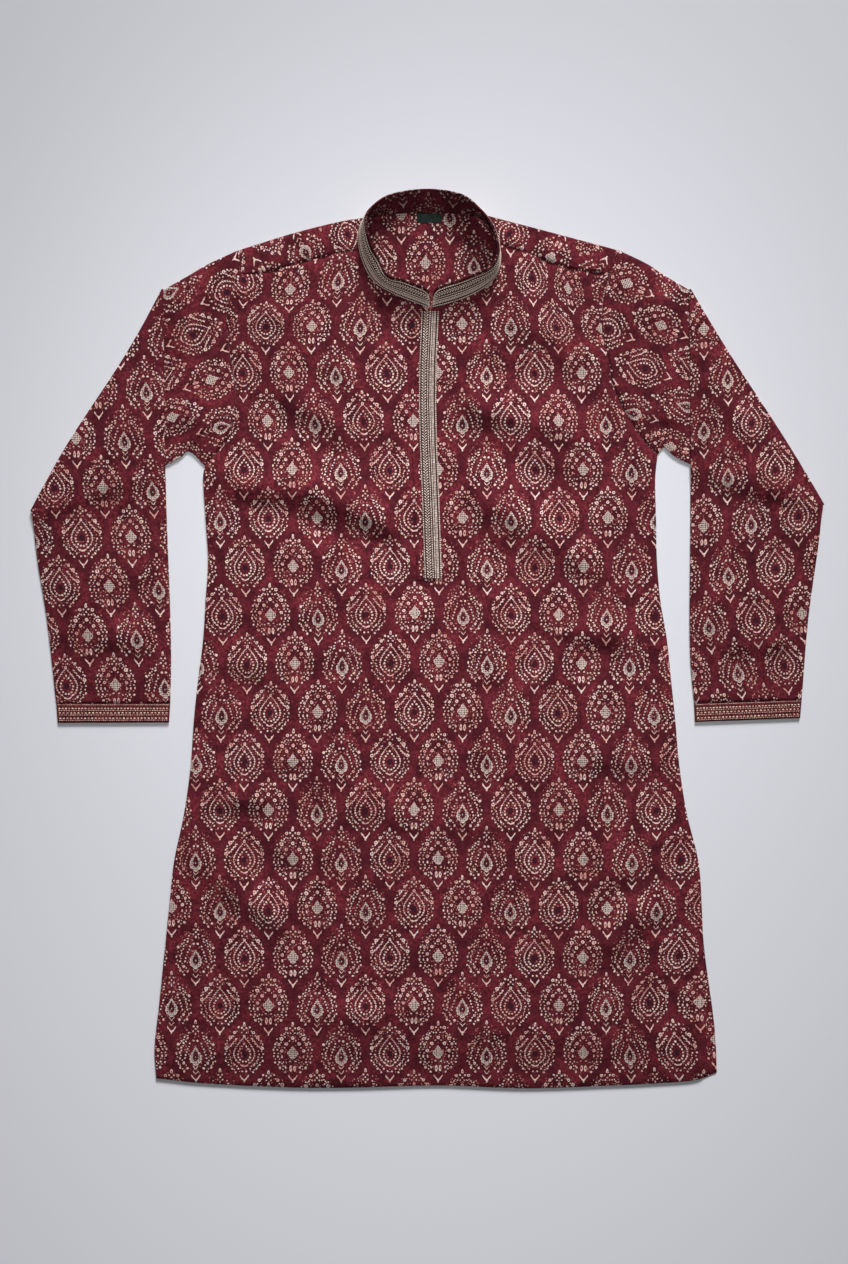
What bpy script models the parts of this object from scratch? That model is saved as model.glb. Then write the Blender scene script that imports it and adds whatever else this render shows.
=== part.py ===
"""A kurta tunic laid out flat, front up, with each sleeve folded once so that its forearm lies
straight down on top of the upper arm.

The garment lies on the plane z = 0 with its collar towards +Y. Left and right are as seen from
above. Tables are in millimetres, in the garment's own frame, whose origin is the middle of the
laid-out garment; meshes are written in metres.
"""

import math
from collections import namedtuple

import bmesh
import bpy
import numpy as np
from mathutils import Vector
from mathutils.geometry import delaunay_2d_cdt

MM = 0.001

# Cloth and the heights of the two layers of a flattened piece
CLOTH = 1.0
GAP = 0.3
LOWER = CLOTH / 2
UPPER = LOWER + CLOTH + GAP
PAIR = 2 * CLOTH + GAP
EDGE_ROUND = PAIR / 2
FOLD_HEIGHT = PAIR + GAP / 2

# A forearm comes down to the surface this far past the underarm edge, over this distance
SETTLE_FROM = 26.0
SETTLE_OVER = 30.0

# Collar, trims and small pieces
BAND_HEIGHT = 28.0
BAND_THICK = 2.0
BAND_CORNER = 9.0
TRIM_THICK = 0.8
TRIM_FOOT = 1.5
TRIM_RIM = 3.5
PLACKET_LEFT = 19.5
PLACKET_RIGHT = 11.0
PLACKET_TRIM_HALF = 10.5
PLACKET_END = 70.0
PLACKET_TRIM_END = 71.5
PLACKET_START = 393.3
PLACKET_TRIM_START = 391.8
LABEL_CENTRE = (2.4, 503.6)
LABEL_SIZE = (30.0, 11.0)
LABEL_THICK = 0.6

# Mesh steps: pieces along each edge, and the spacing of points inside a panel
SIDE_STEPS = 28
HEM_STEPS = 24
ARMHOLE_STEPS = 10
SHOULDER_STEPS = 6
FRONT_NECK_STEPS = 16
BACK_NECK_STEPS = 8
STRIP_STEPS = 2
UPPER_ARM_STEPS = 6
FOREARM_STEPS = 13
CUFF_STEPS = 2
TURN_STEPS = 4
CURVE_STEPS = 12
PLACKET_STEPS = 16
BAND_STEPS = 56
BRAID_ROWS = 3
FRONT_SPACING = 24.0
BACK_SPACING = 60.0

# Side seams from the hem up to the armpits
SideRow = namedtuple("SideRow", "y left right")
SIDE_ROWS = [
    SideRow(-490, -327, 335),
    SideRow(-442, -322, 333),
    SideRow(-384, -316, 331),
    SideRow(-326, -310, 329),
    SideRow(-269, -304, 325),
    SideRow(-211, -292, 311),
    SideRow(-154, -284, 302),
    SideRow(-98, -280, 297),
    SideRow(-50, -275, 292),
    SideRow(-2, -269, 287),
    SideRow(46, -266, 279),
    SideRow(94, -263, 275),
    SideRow(142, -266, 274),
    SideRow(190, -269, 273),
]

Point = namedtuple("Point", "x y")
HEM = [
    Point(-325, -528),
    Point(-267, -534),
    Point(-163, -539),
    Point(-85, -539),
    Point(15, -536.5),
    Point(119, -540),
    Point(223, -536.5),
    Point(275, -534),
    Point(322, -530),
    Point(336, -521),
]
# Below the right slit the back panel shows past the front one
BACK_SHOWS_FROM = -340.0
BACK_SHOWS_OVER = 150.0
BACK_SHOWS = 11.0

# One record for each arm: seam and edge curves from the shoulder down
Arm = namedtuple(
    "Arm", "armhole top_edge underarm fold_top fold_bottom fold_bow inner outer cuff_top cuff_end"
)
LEFT_ARM = Arm(
    armhole=[
        Point(-228.6, 464.4),
        Point(-225, 448),
        Point(-236, 412),
        Point(-241.5, 385),
        Point(-239, 352),
        Point(-230, 290),
        Point(-240, 240),
        Point(-267, 206.5),
    ],
    top_edge=[Point(-228.6, 464.4), Point(-262, 449), Point(-286, 435)],
    underarm=[Point(-267, 206.5), Point(-288.6, 224), Point(-314, 207)],
    fold_top=Point(-318.5, 419),
    fold_bottom=Point(-476.5, 152),
    fold_bow=2.8,
    inner=[Point(-314, 190), Point(-309, 45), Point(-307.5, -30), Point(-308.6, -79)],
    outer=[Point(-468, 94), Point(-456.6, 21.6), Point(-445.2, -79)],
    cuff_top=(Point(-308.6, -79.3), Point(-445.2, -79.3)),
    cuff_end=(Point(-310, -101.4), Point(-443.4, -101.8)),
)
RIGHT_ARM = Arm(
    armhole=[
        Point(231, 464.4),
        Point(221, 441),
        Point(211, 406),
        Point(209.5, 370),
        Point(218, 331),
        Point(221.5, 306),
        Point(240, 266),
        Point(264, 231),
        Point(276, 220),
    ],
    top_edge=[Point(231, 464.4), Point(263, 449), Point(284, 435)],
    underarm=[Point(276, 220), Point(287, 229), Point(315, 208.5)],
    fold_top=Point(315.5, 419),
    fold_bottom=Point(476, 160),
    fold_bow=1.3,
    inner=[Point(315.5, 190), Point(314.5, 0), Point(319.8, -79)],
    outer=[Point(469, 112), Point(456.6, 21.6), Point(448.8, -74.4)],
    cuff_top=(Point(319.8, -79.3), Point(448.8, -74.7)),
    cuff_end=(Point(321, -100.8), Point(447, -96)),
)

# Shoulder folds (outer edge of the shoulders), armhole to neck
LEFT_FOLD = [Point(-228.6, 464.4), Point(-161, 485.5), Point(-105, 499.5), Point(-74, 504.5)]
RIGHT_FOLD = [Point(231, 464.4), Point(154, 485), Point(73, 506.4)]

# Neck seam from centre front round by the left, with how far the collar leans at each place
NeckRow = namedtuple("NeckRow", "x y lean_x lean_y")
NECK_ROWS = [
    NeckRow(3.0, 395.4, 0, 19.5),
    NeckRow(-28, 407, 0, 20),
    NeckRow(-47, 416.5, 4, 13),
    NeckRow(-62, 426, 12, 10.5),
    NeckRow(-72, 438, 16.5, 11.5),
    NeckRow(-79, 456, 14.5, 7.5),
    NeckRow(-82, 473, 12.5, 5),
    NeckRow(-81.5, 486, 9.5, 5),
    NeckRow(-76, 500, 4, 1.5),
    NeckRow(-63, 506, -1, 8),
    NeckRow(-39, 509, -3.5, 19.5),
    NeckRow(-0.5, 511, 0, 25),
    NeckRow(37, 509, 2.5, 19.5),
    NeckRow(56, 505.5, 6, 4.5),
    NeckRow(69, 499, 4, -3),
    NeckRow(79, 486, 1, -4),
    NeckRow(85, 467, -1.5, -2),
    NeckRow(86, 453.5, -3, 4.5),
    NeckRow(83.5, 439, -3.5, 9.5),
    NeckRow(77, 428.5, -5.5, 11),
    NeckRow(64, 417.5, -8.5, 16),
    NeckRow(46, 408, -7, 19.5),
    NeckRow(26, 401, -3.5, 21.5),
    NeckRow(5.6, 396.4, 2, 20),
]
NECK_FRONT = Point(4.3, 395.6)
NECK_CENTRE = np.array([2.0, 455.0])
LEFT_SEAM_AT = 5.5
LEFT_FOLD_AT = 8.2
RIGHT_FOLD_AT = 13.7
RIGHT_SEAM_AT = 16.1
LAST_NECK = len(NECK_ROWS) - 1

# Centre line of the placket, neck to end
PLACKET_LINE = [
    Point(3.4, 395),
    Point(0.5, 330),
    Point(0, 283),
    Point(1, 234),
    Point(4, 161),
    Point(7, 70),
]

# Largest soft folds of the front: middle, direction, size, and height (a trough is negative)
Crease = namedtuple("Crease", "x y degrees length width height")
CREASES = [
    Crease(-67, 133, -28, 125, 30, -2.2),
    Crease(165, 142, -50, 110, 34, 1.6),
    Crease(-205, 169, 0, 110, 26, -1.4),
    Crease(240, -20, -8, 90, 24, -1.6),
    Crease(-133, -284, 90, 420, 36, -1.8),
    Crease(-40, -300, 86, 360, 60, 1.4),
    Crease(130, -330, 93, 340, 48, -1.4),
    Crease(260, -390, 93, 230, 30, -1.6),
    Crease(-235, -300, -30, 120, 28, -1.6),
    Crease(60, -90, 70, 180, 44, 1.2),
]
LOFT = 2.6
LOFT_MARGIN = 70.0
PLACKET_CLEAR = 16.0
PLACKET_EASE = 55.0

Finish = namedtuple("Finish", "colour roughness")
MAROON = Finish((0.155, 0.022, 0.036, 1), 0.85)
MAROON_BACK = Finish((0.13, 0.018, 0.03, 1), 0.85)
CUFF_RED = Finish((0.17, 0.03, 0.04, 1), 0.8)
BRAID = Finish((0.42, 0.36, 0.28, 1), 0.6)
LABEL_GREEN = Finish((0.02, 0.03, 0.028, 1), 0.7)


def smooth_curve(points, fractions):
    """Points at these fractions of the length of a smooth curve through the given ones."""
    knots = np.array([(p[0], p[1]) for p in points], float)
    ends = np.vstack([2 * knots[0] - knots[1], knots, 2 * knots[-1] - knots[-2]])
    dense = []
    for before, start, end, after in zip(ends, ends[1:], ends[2:], ends[3:]):
        for t in np.linspace(0, 1, CURVE_STEPS, endpoint=False):
            tangent_in = (end - before) / 2
            tangent_out = (after - start) / 2
            h = (2 * t**3 - 3 * t**2 + 1, t**3 - 2 * t**2 + t, 3 * t**2 - 2 * t**3, t**3 - t**2)
            dense.append(h[0] * start + h[1] * tangent_in + h[2] * end + h[3] * tangent_out)
    dense.append(knots[-1])
    dense = np.array(dense)
    walked = np.concatenate([[0], np.cumsum(np.linalg.norm(np.diff(dense, axis=0), axis=1))])
    wanted = np.asarray(fractions) * walked[-1]
    return np.column_stack([np.interp(wanted, walked, dense[:, i]) for i in range(2)])


def even(steps):
    return np.linspace(0, 1, steps + 1)


def patch(first, last, start, end):
    """Coons patch: rows run from the curve first to last, and each row from start to end."""
    v = even(len(start) - 1)[:, None, None]
    u = even(len(first) - 1)[None, :, None]
    rows = (1 - v) * first[None] + v * last[None]
    columns = (1 - u) * start[:, None] + u * end[:, None]
    corners = (1 - v) * ((1 - u) * first[0] + u * first[-1]) + v * ((1 - u) * last[0] + u * last[-1])
    return rows + columns - corners


def ease(value):
    t = np.clip(value, 0, 1)
    return t * t * (3 - 2 * t)


def unit(vector):
    return vector / np.linalg.norm(vector, axis=-1, keepdims=True)


def material(name, finish):
    made = bpy.data.materials.new(name)
    made.use_nodes = True
    shader = made.node_tree.nodes["Principled BSDF"]
    shader.inputs["Base Color"].default_value = finish.colour
    shader.inputs["Roughness"].default_value = finish.roughness
    shader.inputs["Metallic"].default_value = 0.0
    made.diffuse_color = finish.colour
    return made


def add_object(name, points, faces, finish, thick=0.0):
    """Object from points in millimetres; thick gives a one-sided sheet its wall."""
    mesh = bpy.data.meshes.new(name)
    mesh.from_pydata((np.asarray(points) * MM).tolist(), [], faces)
    made = bpy.data.objects.new(name, mesh)
    bpy.context.scene.collection.objects.link(made)
    mesh.materials.append(material(name, finish))
    mesh.shade_smooth()
    if thick:
        wall = made.modifiers.new("wall", "SOLIDIFY")
        wall.thickness = thick * MM
        wall.offset = 0.0
        wall.use_even_offset = True
    return made


def add_sheet(name, grid, finish, thick):
    """Sheet from a grid of points, cut into triangles that all lean the same way."""
    rows, columns = grid.shape[:2]
    faces = []
    for i in range((rows - 1) * columns):
        if i % columns < columns - 1:
            faces.append((i, i + 1, i + 1 + columns))
            faces.append((i, i + 1 + columns, i + columns))
    return add_object(name, grid.reshape(-1, 3), faces, finish, thick)


def edge_distance(points, outline):
    """Distance of each point from a closed outline."""
    start, end = outline, np.roll(outline, -1, axis=0)
    side = end - start
    away = points[:, None] - start[None]
    share = np.clip((away * side).sum(2) / (side * side).sum(1), 0, 1)
    return np.linalg.norm(away - share[..., None] * side, axis=2).min(axis=1)


def inside(points, outline):
    start, end = outline, np.roll(outline, -1, axis=0)
    x, y = points[:, 0, None], points[:, 1, None]
    spans = (start[:, 1] > y) != (end[:, 1] > y)
    rise = np.where(end[:, 1] == start[:, 1], 1.0, end[:, 1] - start[:, 1])
    crossing = start[:, 0] + (y - start[:, 1]) / rise * (end[:, 0] - start[:, 0])
    return (spans & (x < crossing)).sum(axis=1) % 2 == 1


def fill(outline, spacing):
    """Points and triangles of a flat panel: its outline first, then an even field inside."""
    low, high = outline.min(axis=0), outline.max(axis=0)
    rows = np.arange(low[1] + spacing / 2, high[1], spacing * math.sqrt(3) / 2)
    columns = np.arange(low[0], high[0], spacing)
    field = np.array([(x + i % 2 * spacing / 2, y) for i, y in enumerate(rows) for x in columns])
    field = field[inside(field, outline)]
    field = field[edge_distance(field, outline) > spacing / 2]
    points = np.vstack([outline, field])
    loop = list(range(len(outline)))
    result = delaunay_2d_cdt([Vector(place) for place in points], [], [loop], 1, 1e-5)
    first_names = [names[0] for names in result[3]]
    return points, [tuple(first_names[i] for i in face) for face in result[2]]


def neck_row(at):
    """Neck seam point and lean at a row number, which may lie between two rows."""
    table = np.array(NECK_ROWS, float)
    low = np.clip(np.floor(at).astype(int), 0, LAST_NECK - 1)
    t = (at - low)[:, None]
    start, end = table[low], table[low + 1]
    before, after = table[np.maximum(low - 1, 0)], table[np.minimum(low + 2, LAST_NECK)]
    tangent_in, tangent_out = (end - before) / 2, (after - start) / 2
    h = (2 * t**3 - 3 * t**2 + 1, t**3 - 2 * t**2 + t, 3 * t**2 - 2 * t**3, t**3 - t**2)
    return h[0] * start + h[1] * tangent_in + h[2] * end + h[3] * tangent_out


def armhole(arm, inset):
    """Armhole seam from the shoulder to the armpit, moved in from the sleeve by inset."""
    curve = smooth_curve(arm.armhole, even(ARMHOLE_STEPS))
    along = unit(np.gradient(curve, axis=0))
    away = np.column_stack([-along[:, 1], along[:, 0]])
    if away[0, 0] * curve[0, 0] > 0:
        away = -away
    return curve + inset * away


def side_seam(which, past=0.0):
    """Side seam from the hem to the armpit; past moves the part below the slit outwards."""
    corner = HEM[0] if which == "left" else HEM[-1]
    rows = [Point(getattr(row, which), row.y) for row in SIDE_ROWS]
    arm = LEFT_ARM if which == "left" else RIGHT_ARM
    curve = smooth_curve([corner] + rows + [arm.armhole[-1]], even(SIDE_STEPS))
    curve[:, 0] += past * ease((BACK_SHOWS_FROM - curve[:, 1]) / BACK_SHOWS_OVER)
    return curve[:-1]


def hem_curve(corner):
    """Hem from the left corner to this right corner."""
    return smooth_curve(HEM[:-1] + [Point(*corner)], even(HEM_STEPS))


def between(start, end, steps):
    """Points on a straight line, without its two ends."""
    return np.linspace(start, end, steps + 1)[1:-1]


def front_neck():
    """Front neckline of the panel, 1 mm inside the neck seam, left to right."""
    half = FRONT_NECK_STEPS // 2
    left = neck_row(np.linspace(LEFT_SEAM_AT, 0, half + 1))[:-1, :2]
    right = neck_row(np.linspace(LAST_NECK, RIGHT_SEAM_AT, half + 1))[1:, :2]
    seam = np.vstack([left, [NECK_FRONT], right])
    return seam + unit(NECK_CENTRE - seam)


def loft(x, y, from_edge):
    """How high the front panel stands off its flat place, with its folds."""
    height = np.full_like(x, LOFT)
    for fold in CREASES:
        turn = math.radians(fold.degrees)
        along = (x - fold.x) * math.cos(turn) + (y - fold.y) * math.sin(turn)
        across = (y - fold.y) * math.cos(turn) - (x - fold.x) * math.sin(turn)
        ends = ease((fold.length / 2 - np.abs(along)) / (fold.length / 3))
        height += fold.height * ends * np.exp(-((across / (fold.width / 2)) ** 2))
    line = np.array(PLACKET_LINE)[::-1]
    from_placket = np.abs(x - np.interp(y, line[:, 1], line[:, 0])) - PLACKET_LEFT - PLACKET_CLEAR
    beside = ease(from_placket / PLACKET_EASE) + ease((PLACKET_END - PLACKET_CLEAR - y) / PLACKET_EASE)
    return height * ease(from_edge / LOFT_MARGIN) * np.minimum(beside, 1)


def front_panel():
    left, right = side_seam("left"), side_seam("right")
    left_arm, right_arm = armhole(LEFT_ARM, GAP)[1:], armhole(RIGHT_ARM, GAP)[1:]
    neck = front_neck()
    outline = np.vstack(
        [
            hem_curve(right[0]),
            right[1:],
            right_arm[::-1],
            between(right_arm[0], neck[-1], SHOULDER_STEPS),
            neck[::-1],
            between(neck[0], left_arm[0], SHOULDER_STEPS),
            left_arm,
            left[:0:-1],
        ]
    )
    flat, faces = fill(outline, FRONT_SPACING)
    height = UPPER + loft(flat[:, 0], flat[:, 1], edge_distance(flat, outline))
    add_object("front_panel", np.column_stack([flat, height]), faces, MAROON, CLOTH)


def back_neck():
    """Back neckline of the panel, 1 mm outside the neck seam, left to right."""
    seam = neck_row(np.linspace(LEFT_FOLD_AT, RIGHT_FOLD_AT, BACK_NECK_STEPS + 1))[:, :2]
    return seam + np.array([0, 1.0])


def shoulder_fold(table, arm):
    """Fold of the back panel over one shoulder, armhole to neck, as the end of its flat part."""
    curve = smooth_curve(table, even(SHOULDER_STEPS)) - np.array([0, EDGE_ROUND])
    seam = armhole(arm, GAP)
    curve[0] = seam[0] + unit(seam[1] - seam[0]) * EDGE_ROUND
    return curve


def shoulder_strip(arm, fold, fold_at, seam_at):
    """Rows of the back panel past one shoulder fold: round the fold, then down to the seam."""
    neck_edge = neck_row(np.linspace(fold_at, seam_at, STRIP_STEPS + 1))[:, :2]
    neck_edge = neck_edge + unit(NECK_CENTRE - neck_edge)
    seam = np.linspace(armhole(arm, GAP)[1], neck_edge[-1], len(fold)) + np.array([0, GAP])
    neck_edge[0], neck_edge[-1] = fold[-1], seam[-1]
    side = np.linspace(fold[0], seam[0], STRIP_STEPS + 1)
    flat = patch(fold, seam, side, neck_edge)
    inward = unit(seam - fold)
    radius = (UPPER - LOWER) / 2
    rows = []
    for step in range(1, TURN_STEPS):
        turn = math.pi * step / TURN_STEPS
        place = fold - inward * radius * math.sin(turn)
        height = LOWER + radius * (1 - math.cos(turn))
        rows.append(np.column_stack([place, np.full(len(place), height)]))
    for row in flat:
        rows.append(np.column_stack([row, np.full(len(row), UPPER)]))
    return rows


def back_panel():
    left, right = side_seam("left"), side_seam("right", BACK_SHOWS)
    left_arm, right_arm = armhole(LEFT_ARM, GAP)[1:], armhole(RIGHT_ARM, GAP)[1:]
    left_fold, right_fold = shoulder_fold(LEFT_FOLD, LEFT_ARM), shoulder_fold(RIGHT_FOLD, RIGHT_ARM)
    lead = np.vstack([hem_curve(right[0]), right[1:], right_arm[::-1]])
    outline = np.vstack(
        [lead, right_fold, back_neck()[-2:0:-1], left_fold[::-1], left_arm, left[:0:-1]]
    )
    flat, faces = fill(outline, BACK_SPACING)
    points = [(*place, LOWER) for place in flat]
    right_first = len(lead)
    left_first = right_first + len(right_fold) + BACK_NECK_STEPS - 1 + SHOULDER_STEPS
    for arm, fold, fold_at, seam_at, first, step in (
        (RIGHT_ARM, right_fold, RIGHT_FOLD_AT, RIGHT_SEAM_AT, right_first, 1),
        (LEFT_ARM, left_fold, LEFT_FOLD_AT, LEFT_SEAM_AT, left_first, -1),
    ):
        previous = [first + step * i for i in range(SHOULDER_STEPS + 1)]
        for row in shoulder_strip(arm, fold, fold_at, seam_at):
            here = list(range(len(points), len(points) + len(row)))
            points.extend(row)
            for i in range(SHOULDER_STEPS):
                quad = (previous[i], previous[i + 1], here[i + 1], here[i])
                faces.append(quad[::-step])
            previous = here
    add_object("back_panel", points, faces, MAROON_BACK, CLOTH)


def section_loop(row, inner):
    """One closed section of a flattened tube: its places along the ruling, and their heights."""
    radius = EDGE_ROUND - (CLOTH if inner else 0)
    start_in, end_in = unit(row[1] - row[0]), unit(row[-2] - row[-1])
    flat = row.copy()
    flat[0] += start_in * EDGE_ROUND
    flat[-1] += end_in * EDGE_ROUND
    places = [(place, EDGE_ROUND - radius) for place in flat]
    turns = np.linspace(-math.pi / 2, math.pi / 2, TURN_STEPS + 1)[1:-1]
    for turn in turns:
        places.append((flat[-1] - end_in * radius * math.cos(turn), EDGE_ROUND + radius * math.sin(turn)))
    places += [(place, EDGE_ROUND + radius) for place in flat[::-1]]
    for turn in turns[::-1]:
        places.append((flat[0] - start_in * radius * math.cos(turn), EDGE_ROUND + radius * math.sin(turn)))
    return places


class ArmShape:
    """Where the layers of a folded sleeve lie."""

    def __init__(self, arm):
        self.arm = arm
        top, bottom = np.array(arm.fold_top), np.array(arm.fold_bottom)
        along = unit(bottom - top)
        side = math.copysign(1, arm.fold_top.x)
        self.outward = np.array([-along[1], along[0]]) * side
        share = even(ARMHOLE_STEPS)[:, None]
        bow = FOLD_HEIGHT + arm.fold_bow * np.sin(2 * math.pi * share)
        self.fold = (1 - share) * top + share * bottom - self.outward * bow
        self.underarm = np.array(arm.underarm[-1])
        edge = unit(bottom - self.underarm)
        self.below = np.array([edge[1], -edge[0]]) * side

    def drop(self, place):
        """How far a forearm point has come down, past the underarm edge that it lies on."""
        past = (place - self.underarm) @ self.below
        return (PAIR + GAP) * float(ease((past - SETTLE_FROM) / SETTLE_OVER))

    def on_surface(self, place, height):
        return (*place, height)

    def round_fold(self, place, height, turn):
        reach = FOLD_HEIGHT - height
        moved = place + self.outward * reach * math.sin(turn)
        return (*moved, FOLD_HEIGHT - reach * math.cos(turn))

    def on_top(self, place, height):
        return (*place, 2 * FOLD_HEIGHT - height - self.drop(place))


def tube(name, sections, finish):
    """Closed wall of a flattened tube from (ruling, placing function) pairs."""
    points, rings = [], []
    for row, placed in sections:
        for inner in (False, True):
            loop = [placed(place, height) for place, height in section_loop(row, inner)]
            rings.append(range(len(points), len(points) + len(loop)))
            points.extend(loop)
    outer, inner = rings[0::2], rings[1::2]
    faces = []
    for walls in (outer, inner):
        for here, there in zip(walls, walls[1:]):
            faces += ring_quads(here, there)
    faces += ring_quads(outer[0], inner[0]) + ring_quads(outer[-1], inner[-1])
    made = add_object(name, points, faces, finish)
    face_out(made.data)


def ring_quads(here, there):
    count = len(here)
    return [(here[i], here[(i + 1) % count], there[(i + 1) % count], there[i]) for i in range(count)]


def face_out(mesh):
    shape = bmesh.new()
    shape.from_mesh(mesh)
    bmesh.ops.recalc_face_normals(shape, faces=shape.faces[:])
    if shape.calc_volume(signed=True) < 0:
        bmesh.ops.reverse_faces(shape, faces=shape.faces[:])
    shape.to_mesh(mesh)
    shape.free()


def sleeve(name, arm):
    shape = ArmShape(arm)
    top = smooth_curve(arm.top_edge + [shape.fold[0]], even(UPPER_ARM_STEPS))
    under = smooth_curve(arm.underarm + [shape.fold[-1]], even(UPPER_ARM_STEPS))
    upper_arm = patch(armhole(arm, 0.0), shape.fold, top, under)
    inner = smooth_curve([shape.fold[0]] + arm.inner, even(FOREARM_STEPS))
    outer = smooth_curve([shape.fold[-1]] + arm.outer, even(FOREARM_STEPS))
    cuff = np.linspace(inner[-1], outer[-1], ARMHOLE_STEPS + 1)
    forearm = patch(shape.fold, cuff, inner, outer)
    sections = [(row, shape.on_surface) for row in upper_arm]
    for step in range(1, TURN_STEPS):
        turn = math.pi * step / TURN_STEPS
        sections.append((shape.fold, lambda place, height, turn=turn: shape.round_fold(place, height, turn)))
    sections += [(row, shape.on_top) for row in forearm]
    tube(name, sections, MAROON)


def cuff(name, arm):
    shape = ArmShape(arm)
    start = np.linspace(arm.cuff_top[0], arm.cuff_top[1], ARMHOLE_STEPS + 1)
    end = np.linspace(arm.cuff_end[0], arm.cuff_end[1], ARMHOLE_STEPS + 1)
    steps = even(CUFF_STEPS)[:, None, None]
    rows = (1 - steps) * start + steps * end
    tube(name, [(row, shape.on_top) for row in rows], CUFF_RED)


def collar_grid():
    """Middle surface of the collar: its foot, the rows under the braid, and its top edge."""
    at = np.linspace(0, LAST_NECK, BAND_STEPS + 1)
    places = neck_row(at)
    seam, lean = places[:, :2], places[:, 2:]
    walked = np.concatenate([[0], np.cumsum(np.linalg.norm(np.diff(seam, axis=0), axis=1))])
    from_end = np.minimum(walked, walked[-1] - walked)
    short = np.maximum(BAND_CORNER - from_end, 0)
    top = BAND_HEIGHT - BAND_CORNER + np.sqrt(BAND_CORNER**2 - short**2)
    tilt = np.linalg.norm(lean, axis=1)
    on_back = ease(at - LEFT_FOLD_AT) * ease(RIGHT_FOLD_AT - at)
    base = PAIR + GAP - (CLOTH + GAP) * on_back + BAND_THICK / 2 * tilt / BAND_HEIGHT
    rise = np.sqrt(BAND_HEIGHT**2 - tilt**2)
    heights = [np.zeros_like(top)]
    heights += [TRIM_FOOT + (top - TRIM_RIM - TRIM_FOOT) * share for share in even(BRAID_ROWS)]
    heights.append(top)
    grid = []
    for height in heights:
        reach = height / BAND_HEIGHT
        grid.append(np.column_stack([seam + lean * reach[:, None], base + rise * reach]))
    return np.array(grid)


def collar():
    band = collar_grid()
    add_sheet("collar_band", band, MAROON, BAND_THICK)
    up, along = np.gradient(band, axis=0), np.gradient(band, axis=1)
    outward = unit(np.cross(along, up))
    left_side = BAND_STEPS // 4
    if outward[0, left_side, 0] > 0:
        outward = -outward
    braid = band + outward * (BAND_THICK / 2 + GAP + TRIM_THICK / 2)
    add_sheet("collar_trim", braid[1:-1, 1:-1], BRAID, TRIM_THICK)


def placket_strip(name, left, right, start, end, height, thick, finish):
    """Straight-edged strip along the centre line of the placket, at this middle height."""
    line = np.array(PLACKET_LINE)[::-1]
    y = np.linspace(end, start, PLACKET_STEPS + 1)
    x = np.interp(y, line[:, 1], line[:, 0])
    across = np.linspace(-left, right, 3)
    grid = np.array([[(mid + offset, place, height) for offset in across] for mid, place in zip(x, y)])
    add_sheet(name, grid, finish, thick)


def placket():
    band_height = UPPER + CLOTH + GAP
    placket_strip(
        "placket_band", PLACKET_LEFT, PLACKET_RIGHT, PLACKET_START, PLACKET_END, band_height, CLOTH, MAROON
    )
    trim_height = band_height + CLOTH / 2 + GAP + TRIM_THICK / 2
    placket_strip(
        "placket_trim",
        PLACKET_TRIM_HALF,
        PLACKET_TRIM_HALF,
        PLACKET_TRIM_START,
        PLACKET_TRIM_END,
        trim_height,
        TRIM_THICK,
        BRAID,
    )


def neck_label():
    wide, tall = LABEL_SIZE[0] / 2, LABEL_SIZE[1] / 2
    middle = CLOTH + GAP + LABEL_THICK / 2
    x = LABEL_CENTRE[0] + np.array([-wide, 0, wide])
    y = LABEL_CENTRE[1] + np.array([-tall, tall])
    grid = np.array([[(a, b, middle) for a in x] for b in y])
    add_sheet("neck_label", grid, LABEL_GREEN, LABEL_THICK)


def main():
    for old in list(bpy.data.objects):
        bpy.data.objects.remove(old)
    back_panel()
    front_panel()
    sleeve("sleeve_left", LEFT_ARM)
    sleeve("sleeve_right", RIGHT_ARM)
    cuff("cuff_left", LEFT_ARM)
    cuff("cuff_right", RIGHT_ARM)
    collar()
    placket()
    neck_label()


main()
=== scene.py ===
"""Looks of a kurta tunic laid out flat, front up, with each sleeve folded once so that its forearm
lies straight down on the upper arm.

Left and right are as seen from above. Tables are in millimetres, in the garment's own frame, with
the collar towards +Y; meshes are written in metres. Cloth coordinates, used by the print, are in
metres on the flat cloth, with the tips of the motifs pointing to +V.
"""

import functools
import math
from collections import namedtuple

import bmesh
import bpy
import numpy as np
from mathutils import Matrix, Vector, noise
from mathutils.geometry import delaunay_2d_cdt


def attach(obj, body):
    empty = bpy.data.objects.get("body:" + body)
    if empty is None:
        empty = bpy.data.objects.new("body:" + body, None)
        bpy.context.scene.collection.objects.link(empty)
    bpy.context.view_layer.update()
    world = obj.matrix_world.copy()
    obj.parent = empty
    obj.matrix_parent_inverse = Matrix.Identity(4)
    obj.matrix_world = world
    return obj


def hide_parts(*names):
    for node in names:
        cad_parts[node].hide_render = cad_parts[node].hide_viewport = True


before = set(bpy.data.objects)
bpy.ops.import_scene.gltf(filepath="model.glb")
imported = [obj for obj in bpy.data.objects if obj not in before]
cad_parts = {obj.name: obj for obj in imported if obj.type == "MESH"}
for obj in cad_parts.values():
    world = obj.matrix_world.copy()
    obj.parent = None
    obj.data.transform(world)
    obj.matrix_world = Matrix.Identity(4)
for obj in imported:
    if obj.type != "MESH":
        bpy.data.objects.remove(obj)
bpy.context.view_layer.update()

MM = 0.001
BODY = "root"
UP = np.array([0.0, 0.0, 1.0])

# Cloth and the heights of the two layers of a flattened piece
CLOTH = 1.0
CLOTH_EDGE = 0.28
GAP = 0.3
LOWER = CLOTH / 2
UPPER = LOWER + CLOTH + GAP
PAIR = 2 * CLOTH + GAP
EDGE_ROUND = PAIR / 2
FOLD_HEIGHT = PAIR + GAP / 2
SETTLE_FROM = 3.0
SETTLE_OVER = 20.0

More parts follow.
